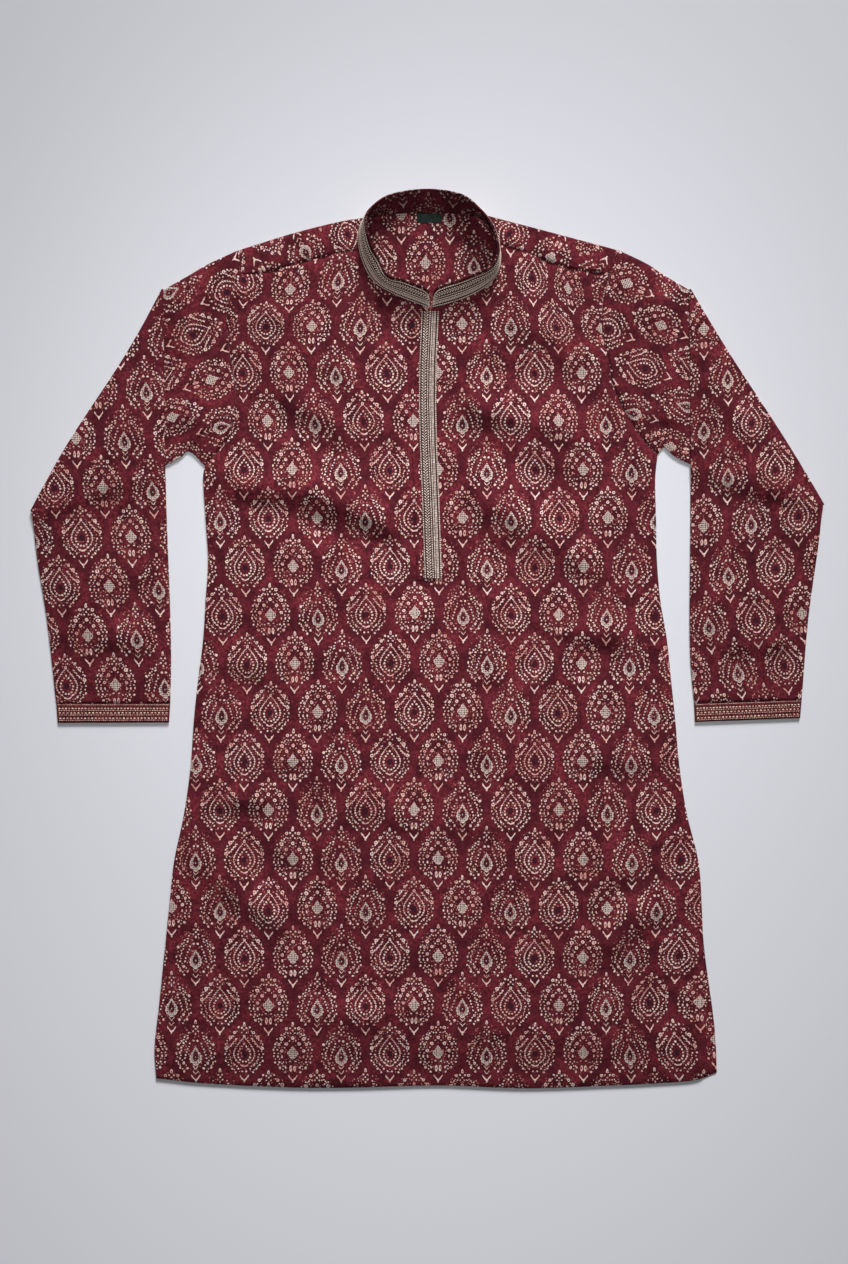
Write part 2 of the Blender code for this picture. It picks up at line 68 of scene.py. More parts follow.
# Collar, trims and small pieces
BAND_HEIGHT = 28.0
BAND_THICK = 2.0
BAND_CORNER = 9.0
BAND_EDGE = 0.7
TRIM_THICK = 0.8
TRIM_EDGE = 0.2
TRIM_FOOT = 1.5
TRIM_RIM = 3.5
PLACKET_LEFT = 19.5
PLACKET_RIGHT = 11.0
PLACKET_TRIM_HALF = 10.5
PLACKET_END = 70.0
PLACKET_TRIM_END = 71.5
PLACKET_START = 393.3
PLACKET_TRIM_START = 391.8
LABEL_CENTRE = (2.4, 503.6)
LABEL_SIZE = (30.0, 11.0)
LABEL_THICK = 0.6
LABEL_CORNER = 4.0
LABEL_ROWS = 12

# Mesh steps along each edge, and the spacing of points inside a panel
SIDE_STEPS = 150
HEM_STEPS = 130
ARMHOLE_STEPS = 44
SHOULDER_STEPS = 36
FRONT_NECK_STEPS = 60
BACK_NECK_STEPS = 40
# Rows of the shoulder strip from its fold to its seam, close together by the seam
STRIP_ROWS = np.array([0, 0.16, 0.32, 0.48, 0.64, 0.78, 0.88, 0.94, 1.0])
UPPER_ARM_STEPS = 44
FOREARM_STEPS = 84
CUFF_STEPS = 8
TURN_STEPS = 6
CURVE_STEPS = 16
BAND_STEPS = 220
BRAID_ROWS = 12
PLACKET_STEPS = 110
PLACKET_ACROSS = 10
FRONT_SPACING = 5.4
BACK_SPACING = 14.0

# Side seams from the hem up to the armpits
SideRow = namedtuple("SideRow", "y left right")
SIDE_ROWS = [
    SideRow(-490, -327, 335),
    SideRow(-442, -322, 333),
    SideRow(-384, -316, 331),
    SideRow(-326, -310, 329),
    SideRow(-269, -304, 325),
    SideRow(-211, -292, 311),
    SideRow(-154, -284, 302),
    SideRow(-98, -280, 297),
    SideRow(-50, -275, 292),
    SideRow(-2, -269, 287),
    SideRow(46, -266, 279),
    SideRow(94, -263, 275),
    SideRow(142, -266, 274),
    SideRow(190, -269, 273),
]

Point = namedtuple("Point", "x y")
HEM = [
    Point(-325, -528),
    Point(-267, -534),
    Point(-163, -539),
    Point(-85, -539),
    Point(15, -536.5),
    Point(119, -540),
    Point(223, -536.5),
    Point(275, -534),
    Point(322, -530),
    Point(336, -521),
]
# Below the right slit the back panel shows past the front one
BACK_SHOWS_FROM = -340.0
BACK_SHOWS_OVER = 150.0
BACK_SHOWS = 11.0

# Soft folds: middle, direction, length, how far each side of the line runs out, and height (a
# trough is negative). The left side, seen along the direction, comes first.
Crease = namedtuple("Crease", "x y degrees length left right height")
LEFT_CREASES = [
    Crease(-262, 330, -62, 110, 16, 18, -3.2),
    Crease(-252, 400, -70, 70, 14, 14, 1.9),
    Crease(-300, 240, 52, 60, 14, 14, -4.2),
    Crease(-296, 264, 18, 80, 16, 11, 3.6),
    Crease(-360, -6, -14, 130, 20, 12, 2.2),
    Crease(-362, -32, -14, 120, 12, 22, -1.8),
    Crease(-379, 130, 82, 130, 22, 24, -3.2),
    Crease(-352, 250, 60, 120, 20, 22, 2.2),
    Crease(-339, -32, 55, 80, 16, 18, -2.9),
    Crease(-376, -60, 30, 70, 16, 18, 2.2),
    Crease(-420, 30, 78, 120, 18, 20, 1.9),
    Crease(-440, 130, 70, 80, 16, 18, -2.2),
    Crease(-330, 90, 96, 90, 14, 16, 1.9),
]
RIGHT_CREASES = [
    Crease(250, 350, 64, 110, 16, 18, -3.2),
    Crease(246, 408, 72, 70, 14, 14, 1.9),
    Crease(300, 240, -48, 64, 14, 14, -4.2),
    Crease(294, 264, -18, 80, 16, 11, 3.6),
    Crease(390, 184, -7, 170, 28, 13, 1.5),
    Crease(388, 158, -7, 170, 14, 26, -1.4),
    Crease(393, -6, 8, 120, 18, 11, 3.0),
    Crease(396, -32, 8, 110, 11, 22, -2.4),
    Crease(357, -30, 98, 110, 18, 20, -2.9),
    Crease(420, 30, 100, 120, 18, 20, 2.2),
    Crease(365, 265, -60, 120, 20, 22, 2.2),
    Crease(430, 90, -72, 90, 18, 18, -2.2),
    Crease(400, -50, -30, 60, 14, 14, 1.9),
]

# The sleeves' prints, charted in units of 1.2 mm, x right and y down. A fan runs round a middle
# with its tips outwards: degrees to a column, and the column and row at this radius and angle.
# Straight rows slope, and their columns lean and then bend.
UNIT = 1.2
UNIT_X, UNIT_Y = 427.5, 638.0
Fan = namedtuple("Fan", "x y radius degrees step turn column row")
Straight = namedtuple("Straight", "x y lean slope wide tall bend")
BEND_FROM = 58.0

# One record for each arm: seam and edge curves from the shoulder down, the prints and the folds
Arm = namedtuple(
    "Arm",
    "armhole top_edge underarm fold_top fold_bottom fold_bow inner outer cuff_top cuff_end "
    "upper_print fore_print creases",
)
LEFT_ARM = Arm(
    armhole=[
        Point(-228.6, 464.4),
        Point(-225, 448),
        Point(-236, 412),
        Point(-241.5, 385),
        Point(-239, 352),
        Point(-230, 290),
        Point(-240, 240),
        Point(-267, 206.5),
    ],
    top_edge=[Point(-228.6, 464.4), Point(-262, 449), Point(-286, 435)],
    underarm=[Point(-267, 206.5), Point(-288.6, 224), Point(-314, 207)],
    fold_top=Point(-318.5, 419),
    fold_bottom=Point(-476.5, 152),
    fold_bow=2.8,
    inner=[Point(-314, 190), Point(-309, 45), Point(-307.5, -30), Point(-308.6, -79)],
    outer=[Point(-468, 94), Point(-456.6, 21.6), Point(-445.2, -79)],
    cuff_top=(Point(-308.6, -79.3), Point(-445.2, -79.3)),
    cuff_end=(Point(-310, -101.4), Point(-443.4, -101.8)),
    upper_print=Fan(-415, 596, 660.3, 23.19, 4.20, -1, 0.0, 0),
    fore_print=Straight(55.3, 490.5, 0.061, 0.0, 48.9, 49.25, 0.0),
    creases=LEFT_CREASES,
)
RIGHT_ARM = Arm(
    armhole=[
        Point(231, 464.4),
        Point(221, 441),
        Point(211, 406),
        Point(209.5, 370),
        Point(218, 331),
        Point(221.5, 306),
        Point(240, 266),
        Point(264, 231),
        Point(276, 220),
    ],
    top_edge=[Point(231, 464.4), Point(263, 449), Point(284, 435)],
    underarm=[Point(276, 220), Point(287, 229), Point(315, 208.5)],
    fold_top=Point(315.5, 419),
    fold_bottom=Point(476, 160),
    fold_bow=1.3,
    inner=[Point(315.5, 190), Point(314.5, 0), Point(319.8, -79)],
    outer=[Point(469, 112), Point(456.6, 21.6), Point(448.8, -74.4)],
    cuff_top=(Point(319.8, -79.3), Point(448.8, -74.7)),
    cuff_end=(Point(321, -100.8), Point(447, -96)),
    upper_print=Fan(1270, 596, 664.0, 19.91, 3.97, 1, -0.5, 3),
    fore_print=Straight(774, 472, 0.0, 0.11, 47.2, 49.1, 0.00054),
    creases=RIGHT_CREASES,
)

# Neck seam from centre front round by the left, with how far the collar leans at each place
NeckRow = namedtuple("NeckRow", "x y lean_x lean_y")
NECK_ROWS = [
    NeckRow(3.0, 395.4, 0, 19.5),
    NeckRow(-28, 407, 0, 20),
    NeckRow(-47, 416.5, 4, 13),
    NeckRow(-62, 426, 12, 10.5),
    NeckRow(-72, 438, 16.5, 11.5),
    NeckRow(-79, 456, 14.5, 7.5),
    NeckRow(-82, 473, 12.5, 5),
    NeckRow(-81.5, 486, 9.5, 5),
    NeckRow(-76, 500, 4, 1.5),
    NeckRow(-63, 506, -1, 8),
    NeckRow(-39, 509, -3.5, 19.5),
    NeckRow(-0.5, 511, 0, 25),
    NeckRow(37, 509, 2.5, 19.5),
    NeckRow(56, 505.5, 6, 4.5),
    NeckRow(69, 499, 4, -3),
    NeckRow(79, 486, 1, -4),
    NeckRow(85, 467, -1.5, -2),
    NeckRow(86, 453.5, -3, 4.5),
    NeckRow(83.5, 439, -3.5, 9.5),
    NeckRow(77, 428.5, -5.5, 11),
    NeckRow(64, 417.5, -8.5, 16),
    NeckRow(46, 408, -7, 19.5),
    NeckRow(26, 401, -3.5, 21.5),
    NeckRow(5.6, 396.4, 2, 20),
]
NECK_FRONT = Point(4.3, 395.6)
NECK_CENTRE = np.array([2.0, 455.0])
LAST_NECK = len(NECK_ROWS) - 1

# One record for each shoulder: its fold and its seam, armhole to neck, the rows of the neck seam
# where they end, and how far the print of its strip is moved
Shoulder = namedtuple("Shoulder", "arm fold seam fold_at seam_at print_moved")
LEFT_SHOULDER = Shoulder(
    arm=LEFT_ARM,
    fold=[Point(-228.6, 464.4), Point(-161, 485.5), Point(-105, 499.5), Point(-74, 504.5)],
    seam=[Point(-191, 439), Point(-165, 446.4), Point(-129, 456), Point(-105, 462)],
    fold_at=8.2,
    seam_at=5.5,
    print_moved=Point(11, -11),
)
RIGHT_SHOULDER = Shoulder(
    arm=RIGHT_ARM,
    fold=[Point(231, 464.4), Point(154, 485), Point(73, 506.4)],
    seam=[Point(177, 441.6), Point(145.8, 451), Point(112, 465.5)],
    fold_at=13.7,
    seam_at=15.7,
    print_moved=Point(-20, -6),
)
SEAM_STEP = 5

# Pucker of the strip above the shoulder seam: its height, the share of the strip it rises over
# and of each end it fades over, and its mean and least share of the height
STRIP_ROLL, STRIP_RISE, STRIP_ENDS = 3.6, 0.8, 0.1
PUCKER, PUCKER_LEAST, PUCKER_STRETCH = 0.55, 0.1, 0.3

# Centre line of the placket, neck to end
PLACKET_LINE = [
    Point(3.4, 395),
    Point(0.5, 330),
    Point(0, 283),
    Point(1, 234),
    Point(4, 161),
    Point(7, 70),
]

FRONT_CREASES = [
    Crease(-200, 180, -8, 250, 28, 13, 5.0),
    Crease(-70, 146, -22, 240, 28, 13, 7.0),
    Crease(-197, 152, -8, 250, 13, 28, -3.6),
    Crease(-64, 118, -22, 235, 13, 32, -5.0),
    Crease(141, 370, -25, 230, 30, 22, 3.2),
    Crease(135, 308, -17, 250, 24, 20, -4.2),
    Crease(112, 262, -15, 270, 18, 15, 5.4),
    Crease(108, 208, -29, 240, 17, 22, -5.0),
    Crease(122, 134, -31, 290, 20, 18, 6.0),
    Crease(112, 84, -32, 200, 18, 40, -3.2),
    Crease(214, 2, -7, 210, 18, 11, 3.4),
    Crease(219, -26, -4, 200, 11, 24, -2.6),
    Crease(231, -146, -2, 150, 20, 13, 2.8),
    Crease(228, -172, -2, 130, 13, 24, -2.2),
    Crease(-228, -32, -3, 100, 18, 10, 3.0),
    Crease(-226, -56, -3, 100, 10, 20, -2.6),
    Crease(-180, 384, -3, 100, 22, 12, 3.2),
    Crease(-141, 272, -30, 180, 22, 12, 4.2),
    Crease(-149, 246, -30, 170, 12, 24, -3.2),
    Crease(-57, 266, -40, 120, 22, 15, 2.8),
    Crease(-112, 330, -34, 130, 24, 16, 2.4),
    Crease(-141, -40, 90, 340, 8, 8, -3.6),
    Crease(-136, -270, 91, 300, 8, 9, -4.2),
    Crease(-134, -380, 88, 150, 10, 9, -3.2),
    Crease(141, -128, 90, 370, 9, 8, -3.4),
    Crease(-54, -205, -19, 160, 18, 18, 3.0),
    Crease(58, -222, 0, 170, 18, 18, 3.0),
    Crease(-231, -190, -3, 120, 16, 10, 3.8),
    Crease(-228, -216, -3, 110, 10, 20, -3.0),
    Crease(-153, -146, 4, 80, 14, 10, 2.6),
    Crease(-225, -305, -36, 200, 22, 15, 5.4),
    Crease(-196, -262, -35, 180, 16, 18, -3.0),
    Crease(246, -343, 37, 180, 22, 15, 4.8),
    Crease(226, -312, 37, 150, 14, 16, -2.4),
    Crease(279, -238, 10, 80, 16, 12, 3.2),
    Crease(-51, -446, 8, 170, 18, 20, 3.0),
    Crease(80, -460, 2, 120, 16, 18, 2.2),
    Crease(262, 214, 50, 90, 14, 12, 3.2),
    Crease(240, 226, 52, 80, 12, 16, -3.2),
]
# How far the front stands off in its middle, and how far from the edge and the placket it sinks
LOFT = 5.2
LOFT_MARGIN = 70.0
PLACKET_CLEAR = 8.0
PLACKET_EASE = 36.0

# How far the sleeves' layers that show stand off, and how far from the edge and the cuff they sink
SLEEVE_LOFT = 4.2
SLEEVE_MARGIN = 34.0
CUFF_MARGIN = 90.0

# Uneven softness of the cloth: how wide its bumps are, how high, and where the noise is read
Ripple = namedtuple("Ripple", "size height seed")
FRONT_RIPPLES = [Ripple(66, 2.0, 3.1), Ripple(34, 1.1, 7.7)]
SLEEVE_RIPPLE = Ripple(46, 2.0, 5.5)

# Roll of the cloth beside a seam: where it starts and ends, its fade, its height and its ripple
Roll = namedtuple("Roll", "rise end fade height ripple")
FRONT_ROLL = Roll(6, 40, 30, 1.2, Ripple(15, 0.9, 1.3))
SLEEVE_ROLL = Roll(5, 30, 24, 0.7, Ripple(15, 1.0, 2.9))
PLACKET_ROLL_FADE = 12.0
PUCKER_RIPPLE = Ripple(15, 0.9, 4.2)
FLOOR_SOFTNESS = 0.4


def hermite(t, start, end, tangent_in, tangent_out):
    """Place on the cubic between two knots, with these directions at them."""
    shares = (2 * t**3 - 3 * t**2 + 1, t**3 - 2 * t**2 + t, 3 * t**2 - 2 * t**3, t**3 - t**2)
    return shares[0] * start + shares[1] * tangent_in + shares[2] * end + shares[3] * tangent_out


def smooth_curve(points, fractions):
    """Points at these fractions of the length of a smooth curve through the given ones."""
    knots = np.array([(p[0], p[1]) for p in points], float)
    ends = np.vstack([2 * knots[0] - knots[1], knots, 2 * knots[-1] - knots[-2]])
    dense = []
    for before, start, end, after in zip(ends, ends[1:], ends[2:], ends[3:]):
        for t in np.linspace(0, 1, CURVE_STEPS, endpoint=False):
            dense.append(hermite(t, start, end, (end - before) / 2, (after - start) / 2))
    dense.append(knots[-1])
    dense = np.array(dense)
    walked = walked_along(dense)
    wanted = np.asarray(fractions) * walked[-1]
    return np.column_stack([np.interp(wanted, walked, dense[:, i]) for i in range(2)])


def walked_along(line):
    """Length of a line up to each of its points."""
    return np.concatenate([[0], np.cumsum(np.linalg.norm(np.diff(line, axis=0), axis=1))])


def even(steps):
    """Shares from 0 to 1 in even steps."""
    return np.linspace(0, 1, steps + 1)


def patch(first, last, start, end, shares):
    """Coons patch: rows run from the curve first to last, and each row from start to end."""
    v = shares[:, None, None]
    u = even(len(first) - 1)[None, :, None]
    rows = (1 - v) * first[None] + v * last[None]
    columns = (1 - u) * start[:, None] + u * end[:, None]
    at_first = (1 - u) * first[0] + u * first[-1]
    at_last = (1 - u) * last[0] + u * last[-1]
    return rows + columns - ((1 - v) * at_first + v * at_last)


def ease(value):
    """0 to 1 along an S-shaped curve."""
    t = np.clip(value, 0, 1)
    return t * t * (3 - 2 * t)


def unit(arrows):
    """The same directions, each 1 long."""
    return arrows / np.linalg.norm(arrows, axis=-1, keepdims=True)


def edge_distance(points, outline):
    """Distance of each point from a closed outline."""
    start, end = outline, np.roll(outline, -1, axis=0)
    side = end - start
    found = []
    for some in np.array_split(points, max(1, len(points) // 2000)):
        away = some[:, None] - start[None]
        share = np.clip((away * side).sum(2) / (side * side).sum(1), 0, 1)
        found.append(np.linalg.norm(away - share[..., None] * side, axis=2).min(axis=1))
    return np.concatenate(found)


def inside(points, outline):
    """Whether each point lies inside a closed outline."""
    start, end = outline, np.roll(outline, -1, axis=0)
    x, y = points[:, 0, None], points[:, 1, None]
    spans = (start[:, 1] > y) != (end[:, 1] > y)
    rise = np.where(end[:, 1] == start[:, 1], 1.0, end[:, 1] - start[:, 1])
    crossing = start[:, 0] + (y - start[:, 1]) / rise * (end[:, 0] - start[:, 0])
    return (spans & (x < crossing)).sum(axis=1) % 2 == 1


def outline_area(outline):
    """Area inside a closed outline, in square metres."""
    x, y = outline[:, 0], outline[:, 1]
    return abs(np.dot(x, np.roll(y, -1)) - np.dot(y, np.roll(x, -1))) / 2 * MM * MM


# What the triangulation keeps, and how near two points are the same one
INSIDE_ONLY, SAME_POINT = 1, 1e-5


def fill(outline, spacing):
    """Points and triangles of a flat panel: its outline first, then an even field inside."""
    low, high = outline.min(axis=0), outline.max(axis=0)
    rows = np.arange(low[1] + spacing / 2, high[1], spacing * math.sqrt(3) / 2)
    columns = np.arange(low[0], high[0], spacing)
    field = np.array([(x + i % 2 * spacing / 2, y) for i, y in enumerate(rows) for x in columns])
    field = field[inside(field, outline)]
    field = field[edge_distance(field, outline) > spacing / 2]
    points = np.vstack([outline, field])
    loop = list(range(len(outline)))
    corner_points = [Vector(place) for place in points]
    result = delaunay_2d_cdt(corner_points, [], [loop], INSIDE_ONLY, SAME_POINT)
    first_names = [names[0] for names in result[3]]
    return points, [tuple(first_names[i] for i in face) for face in result[2]]


def folds(creases, x, y):
    """Sum of soft folds at these places."""
    height = np.zeros_like(x)
    for fold in creases:
        turn = math.radians(fold.degrees)
        along = (x - fold.x) * math.cos(turn) + (y - fold.y) * math.sin(turn)
        across = (y - fold.y) * math.cos(turn) - (x - fold.x) * math.sin(turn)
        ends = ease((fold.length / 2 - np.abs(along)) / (fold.length / 3))
        reach = np.where(across > 0, fold.left, fold.right)
        height += fold.height * ends * np.exp(-((across / reach) ** 2))
    return height


def rippled(x, y, ripple):
    """Smooth noise of a ripple's height at these places."""
    size, seed = ripple.size, ripple.seed
    level = np.array([noise.noise(Vector((a / size, b / size, seed))) for a, b in zip(x, y)])
    return ripple.height * level


def rolled(x, y, from_edge, roll):
    """How high the cloth rolls up beside the seam round a panel."""
    beside = ease(from_edge / roll.rise) * ease((roll.end - from_edge) / roll.fade)
    return beside * (roll.height + rippled(x, y, roll.ripple))


def neck_row(at):
    """Neck seam point and lean at a row number, which may lie between two rows."""
    table = np.array(NECK_ROWS, float)
    low = np.clip(np.floor(at).astype(int), 0, LAST_NECK - 1)
    t = (at - low)[:, None]
    start, end = table[low], table[low + 1]
    before, after = table[np.maximum(low - 1, 0)], table[np.minimum(low + 2, LAST_NECK)]
    return hermite(t, start, end, (end - before) / 2, (after - start) / 2)


def armhole(arm, inset):
    """Armhole seam from the shoulder to the armpit, moved in from the sleeve by inset."""
    curve = smooth_curve(arm.armhole, even(ARMHOLE_STEPS))
    along = unit(np.gradient(curve, axis=0))
    away = np.column_stack([-along[:, 1], along[:, 0]])
    if away[0, 0] * curve[0, 0] > 0:
        away = -away
    return curve + inset * away


def side_seam(which, past=0.0):
    """Side seam from the hem to the armpit; past moves the part below the slit outwards."""
    corner = HEM[0] if which == "left" else HEM[-1]
    rows = [Point(getattr(row, which), row.y) for row in SIDE_ROWS]
    arm = LEFT_ARM if which == "left" else RIGHT_ARM
    curve = smooth_curve([corner] + rows + [arm.armhole[-1]], even(SIDE_STEPS))
    curve[:, 0] += past * ease((BACK_SHOWS_FROM - curve[:, 1]) / BACK_SHOWS_OVER)
    return curve[:-1]


def hem_curve(corner):
    """Hem from the left corner to this right corner."""
    return smooth_curve(HEM[:-1] + [Point(*corner)], even(HEM_STEPS))


def front_neck():
    """Front neckline of the panel, 1 mm inside the neck seam, left to right."""
    half = FRONT_NECK_STEPS // 2
    left = neck_row(np.linspace(LEFT_SHOULDER.seam_at, 0, half + 1))[:-1, :2]
    right = neck_row(np.linspace(LAST_NECK, RIGHT_SHOULDER.seam_at, half + 1))[1:, :2]
    seam = np.vstack([left, [NECK_FRONT], right])
    return seam + unit(NECK_CENTRE - seam)


# Finishes -------------------------------------------------------------------------------------


class Wire:
    """A number in a node tree that takes part in formulas."""

    def __init__(self, tree, socket):
        self.tree = tree
        self.socket = socket

    def made(self, operation, *others):
        """What this kind of Math node gives."""
        node = self.tree.nodes.new("ShaderNodeMath")
        node.operation = operation
        for socket, value in zip(node.inputs, (self, *others)):
            feed(self.tree, socket, value)
        return Wire(self.tree, node.outputs[0])

    def __add__(self, other):
        return self.made("ADD", other)

    def __sub__(self, other):
        return self.made("SUBTRACT", other)

    def __mul__(self, other):
        return self.made("MULTIPLY", other)

    def __truediv__(self, other):
        return self.made("DIVIDE", other)

    def __abs__(self):
        return self.made("ABSOLUTE")

    def under(self, other):
        return self.made("LESS_THAN", other)

    def lower(self, other):
        return self.made("MINIMUM", other)

    def higher(self, other):
        return self.made("MAXIMUM", other)

    def ramp(self, start, end):
        """0 at start to 1 at end, smoothly; start may be the larger."""
        node = self.tree.nodes.new("ShaderNodeMapRange")
        node.interpolation_type = "SMOOTHSTEP"
        for name, value in (("Value", self), ("From Min", start), ("From Max", end)):
            feed(self.tree, node.inputs[name], value)
        return Wire(self.tree, node.outputs["Result"])


def feed(tree, socket, value):
    """Sets a socket to a constant, or links it to a wire or another socket."""
    if isinstance(value, Wire):
        value = value.socket
    if isinstance(value, bpy.types.NodeSocket):
        tree.links.new(value, socket)
    elif isinstance(value, tuple) and len(value) == 3 and socket.type == "RGBA":
        socket.default_value = (*value, 1)
    else:
        socket.default_value = value


def node_with(tree, kind, **values):
    """First output of a new node with these inputs, given by name."""
    node = tree.nodes.new(kind)
    for name, value in values.items():
        feed(tree, node.inputs[name], value)
    return Wire(tree, node.outputs[0])


def vector(tree, operation, *values, output=0):
    """What this kind of Vector Math node gives."""
    node = tree.nodes.new("ShaderNodeVectorMath")
    node.operation = operation
    for socket, value in zip(node.inputs, values):
        feed(tree, socket, value)
    return Wire(tree, node.outputs[output])


def node_scale(tree, value, factor):
    """A vector made longer or shorter."""
    node = tree.nodes.new("ShaderNodeVectorMath")
    node.operation = "SCALE"
    feed(tree, node.inputs[0], value)
    feed(tree, node.inputs["Scale"], factor)
    return Wire(tree, node.outputs[0])


def split(tree, value):
    """The three numbers of a vector."""
    node = tree.nodes.new("ShaderNodeSeparateXYZ")
    feed(tree, node.inputs[0], value)
    return [Wire(tree, socket) for socket in node.outputs]


# Noises of the cloth: how many metres wide their grains are, their detail and their roughness
Grain = namedtuple("Grain", "size detail roughness", defaults=(0.5,))
FLECKS = Grain(0.0036, 2.0, 0.7)
CLOUDS = Grain(0.024, 2.0, 0.6)
TONES = Grain(0.0050, 1.0)
WASHES = Grain(0.045, 1.0)
TINTS = Grain(0.0030, 1.0, 0.6)
YARN = Grain(0.0024, 2.0, 0.7)
SLUBS = Grain(0.0022, 1.0)
PATCHES = Grain(0.06, 2.0)
THREAD_TONES = Grain(0.003, 2.0)
FIBRES = Grain(0.0005, 1.0)
# Slubs are this much shorter than long
SLUB_STRETCH = 0.16


def cloth_noise(tree, place, grain):
    """Noise from 0 to 1."""
    return node_with(
        tree,
        "ShaderNodeTexNoise",
        Vector=place,
        Scale=1 / grain.size,
        Detail=grain.detail,
        Roughness=grain.roughness,
    )


def blend(tree, factor, first, second):
    """Colour between two colours."""
    node = tree.nodes.new("ShaderNodeMix")
    node.data_type = "RGBA"
    feed(tree, node.inputs["Factor"], factor)
    feed(tree, node.inputs["A"], first)
    feed(tree, node.inputs["B"], second)
    return node.outputs["Result"]


def shader_group(name, inputs, outputs):
    """New node group; returns its tree, the output of its input node, and its output node."""
    tree = bpy.data.node_groups.new(name, "ShaderNodeTree")
    for socket, kind in inputs:
        tree.interface.new_socket(socket, in_out="INPUT", socket_type=kind)
    for socket, kind in outputs:
        tree.interface.new_socket(socket, in_out="OUTPUT", socket_type=kind)
    return tree, tree.nodes.new("NodeGroupInput"), tree.nodes.new("NodeGroupOutput")


# The print is a lattice of drops, three kinds in turn, each row half a pitch from the last.
# Each drop is charted by its dots, in millimetres from its middle, right half only. Hollow dots
# are the large ones. Stretch lengthens a dot along its ring, or upright on the axis.
PITCH = 58.1
ROW = 58.2
CELL_RAISE = 3.6
KINDS = 3
Dot = namedtuple("Dot", "x y radius stretch", defaults=(0.0,))
LOOP, DIAMOND, DROP = range(KINDS)
OUTER_RING = {
    LOOP: [
        Dot(6.6, 34.2, 1.7), Dot(11.2, 28.0, 2.5), Dot(16.4, 22.2, 3.0), Dot(20.2, 18.0, 1.3),
        Dot(22.2, 13.8, 1.5), Dot(21.4, 9.0, 2.9), Dot(22.8, 1.8, 1.5), Dot(22.1, -6.6, 1.6, 0.2),
        Dot(18.4, -11.4, 1.6), Dot(14.6, -16.2, 1.7), Dot(10.3, -20.6, 1.7),
    ],
    DIAMOND: [
        Dot(7.3, 33.5, 2.6), Dot(10.0, 26.8, 1.4), Dot(13.6, 25.4, 1.5), Dot(18.6, 20.4, 1.4),
        Dot(21.0, 14.2, 1.6, 0.2), Dot(23.0, 7.2, 1.6, 0.2), Dot(22.7, -0.6, 1.6, 0.25),
        Dot(21.2, -8.4, 1.6), Dot(15.4, -15.0, 2.2), Dot(9.0, -20.2, 1.8),
    ],
    DROP: [
        Dot(8.2, 27.2, 1.4), Dot(13.2, 21.8, 1.5), Dot(16.8, 17.0, 1.5), Dot(21.0, 13.2, 2.1),
        Dot(23.0, 2.2, 1.6, 0.25), Dot(23.4, -7.2, 1.5), Dot(20.6, -10.6, 1.3),
        Dot(18.6, -15.0, 1.9), Dot(13.8, -19.8, 1.7),
    ],
}
SECOND_RING = {
    LOOP: [
        Dot(9.6, 20.2, 1.6, 0.3), Dot(12.4, 17.0, 1.4, 0.4), Dot(15.2, 13.4, 1.5, 0.4),
        Dot(18.0, 10.6, 1.4, 0.3), Dot(17.8, 1.2, 1.4), Dot(16.8, -4.8, 1.3),
        Dot(15.2, -9.2, 1.1), Dot(11.6, -11.6, 1.6), Dot(7.0, -16.4, 1.5),
    ],
    DIAMOND: [
        Dot(5.8, 27.8, 1.4), Dot(13.2, 20.8, 3.0), Dot(16.4, 13.8, 2.3), Dot(18.4, 7.2, 1.4),
        Dot(17.8, -1.2, 1.6, 0.3), Dot(16.0, -8.2, 1.6), Dot(11.6, -13.0, 1.2),
        Dot(8.2, -14.8, 1.6),
    ],
    DROP: [
        Dot(9.2, 23.4, 1.3), Dot(10.2, 19.8, 1.3), Dot(14.4, 14.6, 1.6), Dot(17.2, 9.0, 1.6),
        Dot(18.8, 3.0, 1.6, 0.25), Dot(19.0, -3.6, 1.6), Dot(14.4, -9.6, 2.2),
        Dot(9.6, -15.8, 1.9),
    ],
}
INNER_RING = {
    LOOP: [
        Dot(2.6, 11.0, 1.5), Dot(4.9, 8.2, 1.6), Dot(6.6, 5.0, 1.6), Dot(7.4, 1.4, 1.7),
        Dot(6.9, -2.3, 1.6), Dot(5.0, -5.4, 1.6), Dot(1.8, -7.4, 1.6),
    ],
    DIAMOND: [
        Dot(3.6, 18.4, 1.3), Dot(7.6, 14.6, 2.7), Dot(10.0, 9.8, 1.3), Dot(13.0, 5.8, 2.6),
        Dot(12.9, -1.2, 1.7, 0.3), Dot(11.0, -8.0, 1.3), Dot(7.6, -8.6, 1.2),
    ],
    DROP: [
        Dot(7.0, 14.4, 1.5), Dot(7.8, 10.6, 1.3), Dot(9.7, 7.4, 1.5), Dot(10.7, 3.8, 1.4),
        Dot(12.0, 0.2, 1.4), Dot(12.9, -3.6, 1.5),
    ],
}
AXIS = {
    LOOP: [
        Dot(2.4, -19.4, 1.5), Dot(0.0, 14.2, 1.8), Dot(0.0, 23.6, 2.2), Dot(2.8, 28.0, 1.3),
        Dot(0.0, 30.8, 1.6), Dot(2.7, 33.4, 1.6), Dot(0.0, 37.0, 2.7, 0.40),
    ],
    DIAMOND: [
        Dot(2.3, -16.0, 3.0, 0.42), Dot(3.2, -7.0, 1.4, -0.3), Dot(0.0, 21.8, 2.7),
        Dot(2.6, 28.0, 1.4), Dot(0.0, 31.0, 1.6), Dot(2.9, 34.0, 1.6), Dot(0.0, 38.2, 2.7, 0.4),
    ],
    DROP: [
        Dot(0.0, -2.4, 1.2, 0.2), Dot(2.4, 17.6, 1.8), Dot(0.0, 25.6, 1.6, 0.2),
        Dot(2.9, 28.8, 1.5), Dot(0.0, 31.6, 1.5), Dot(2.4, 34.6, 1.6), Dot(0.0, 39.4, 2.6, 0.42),
    ],
}
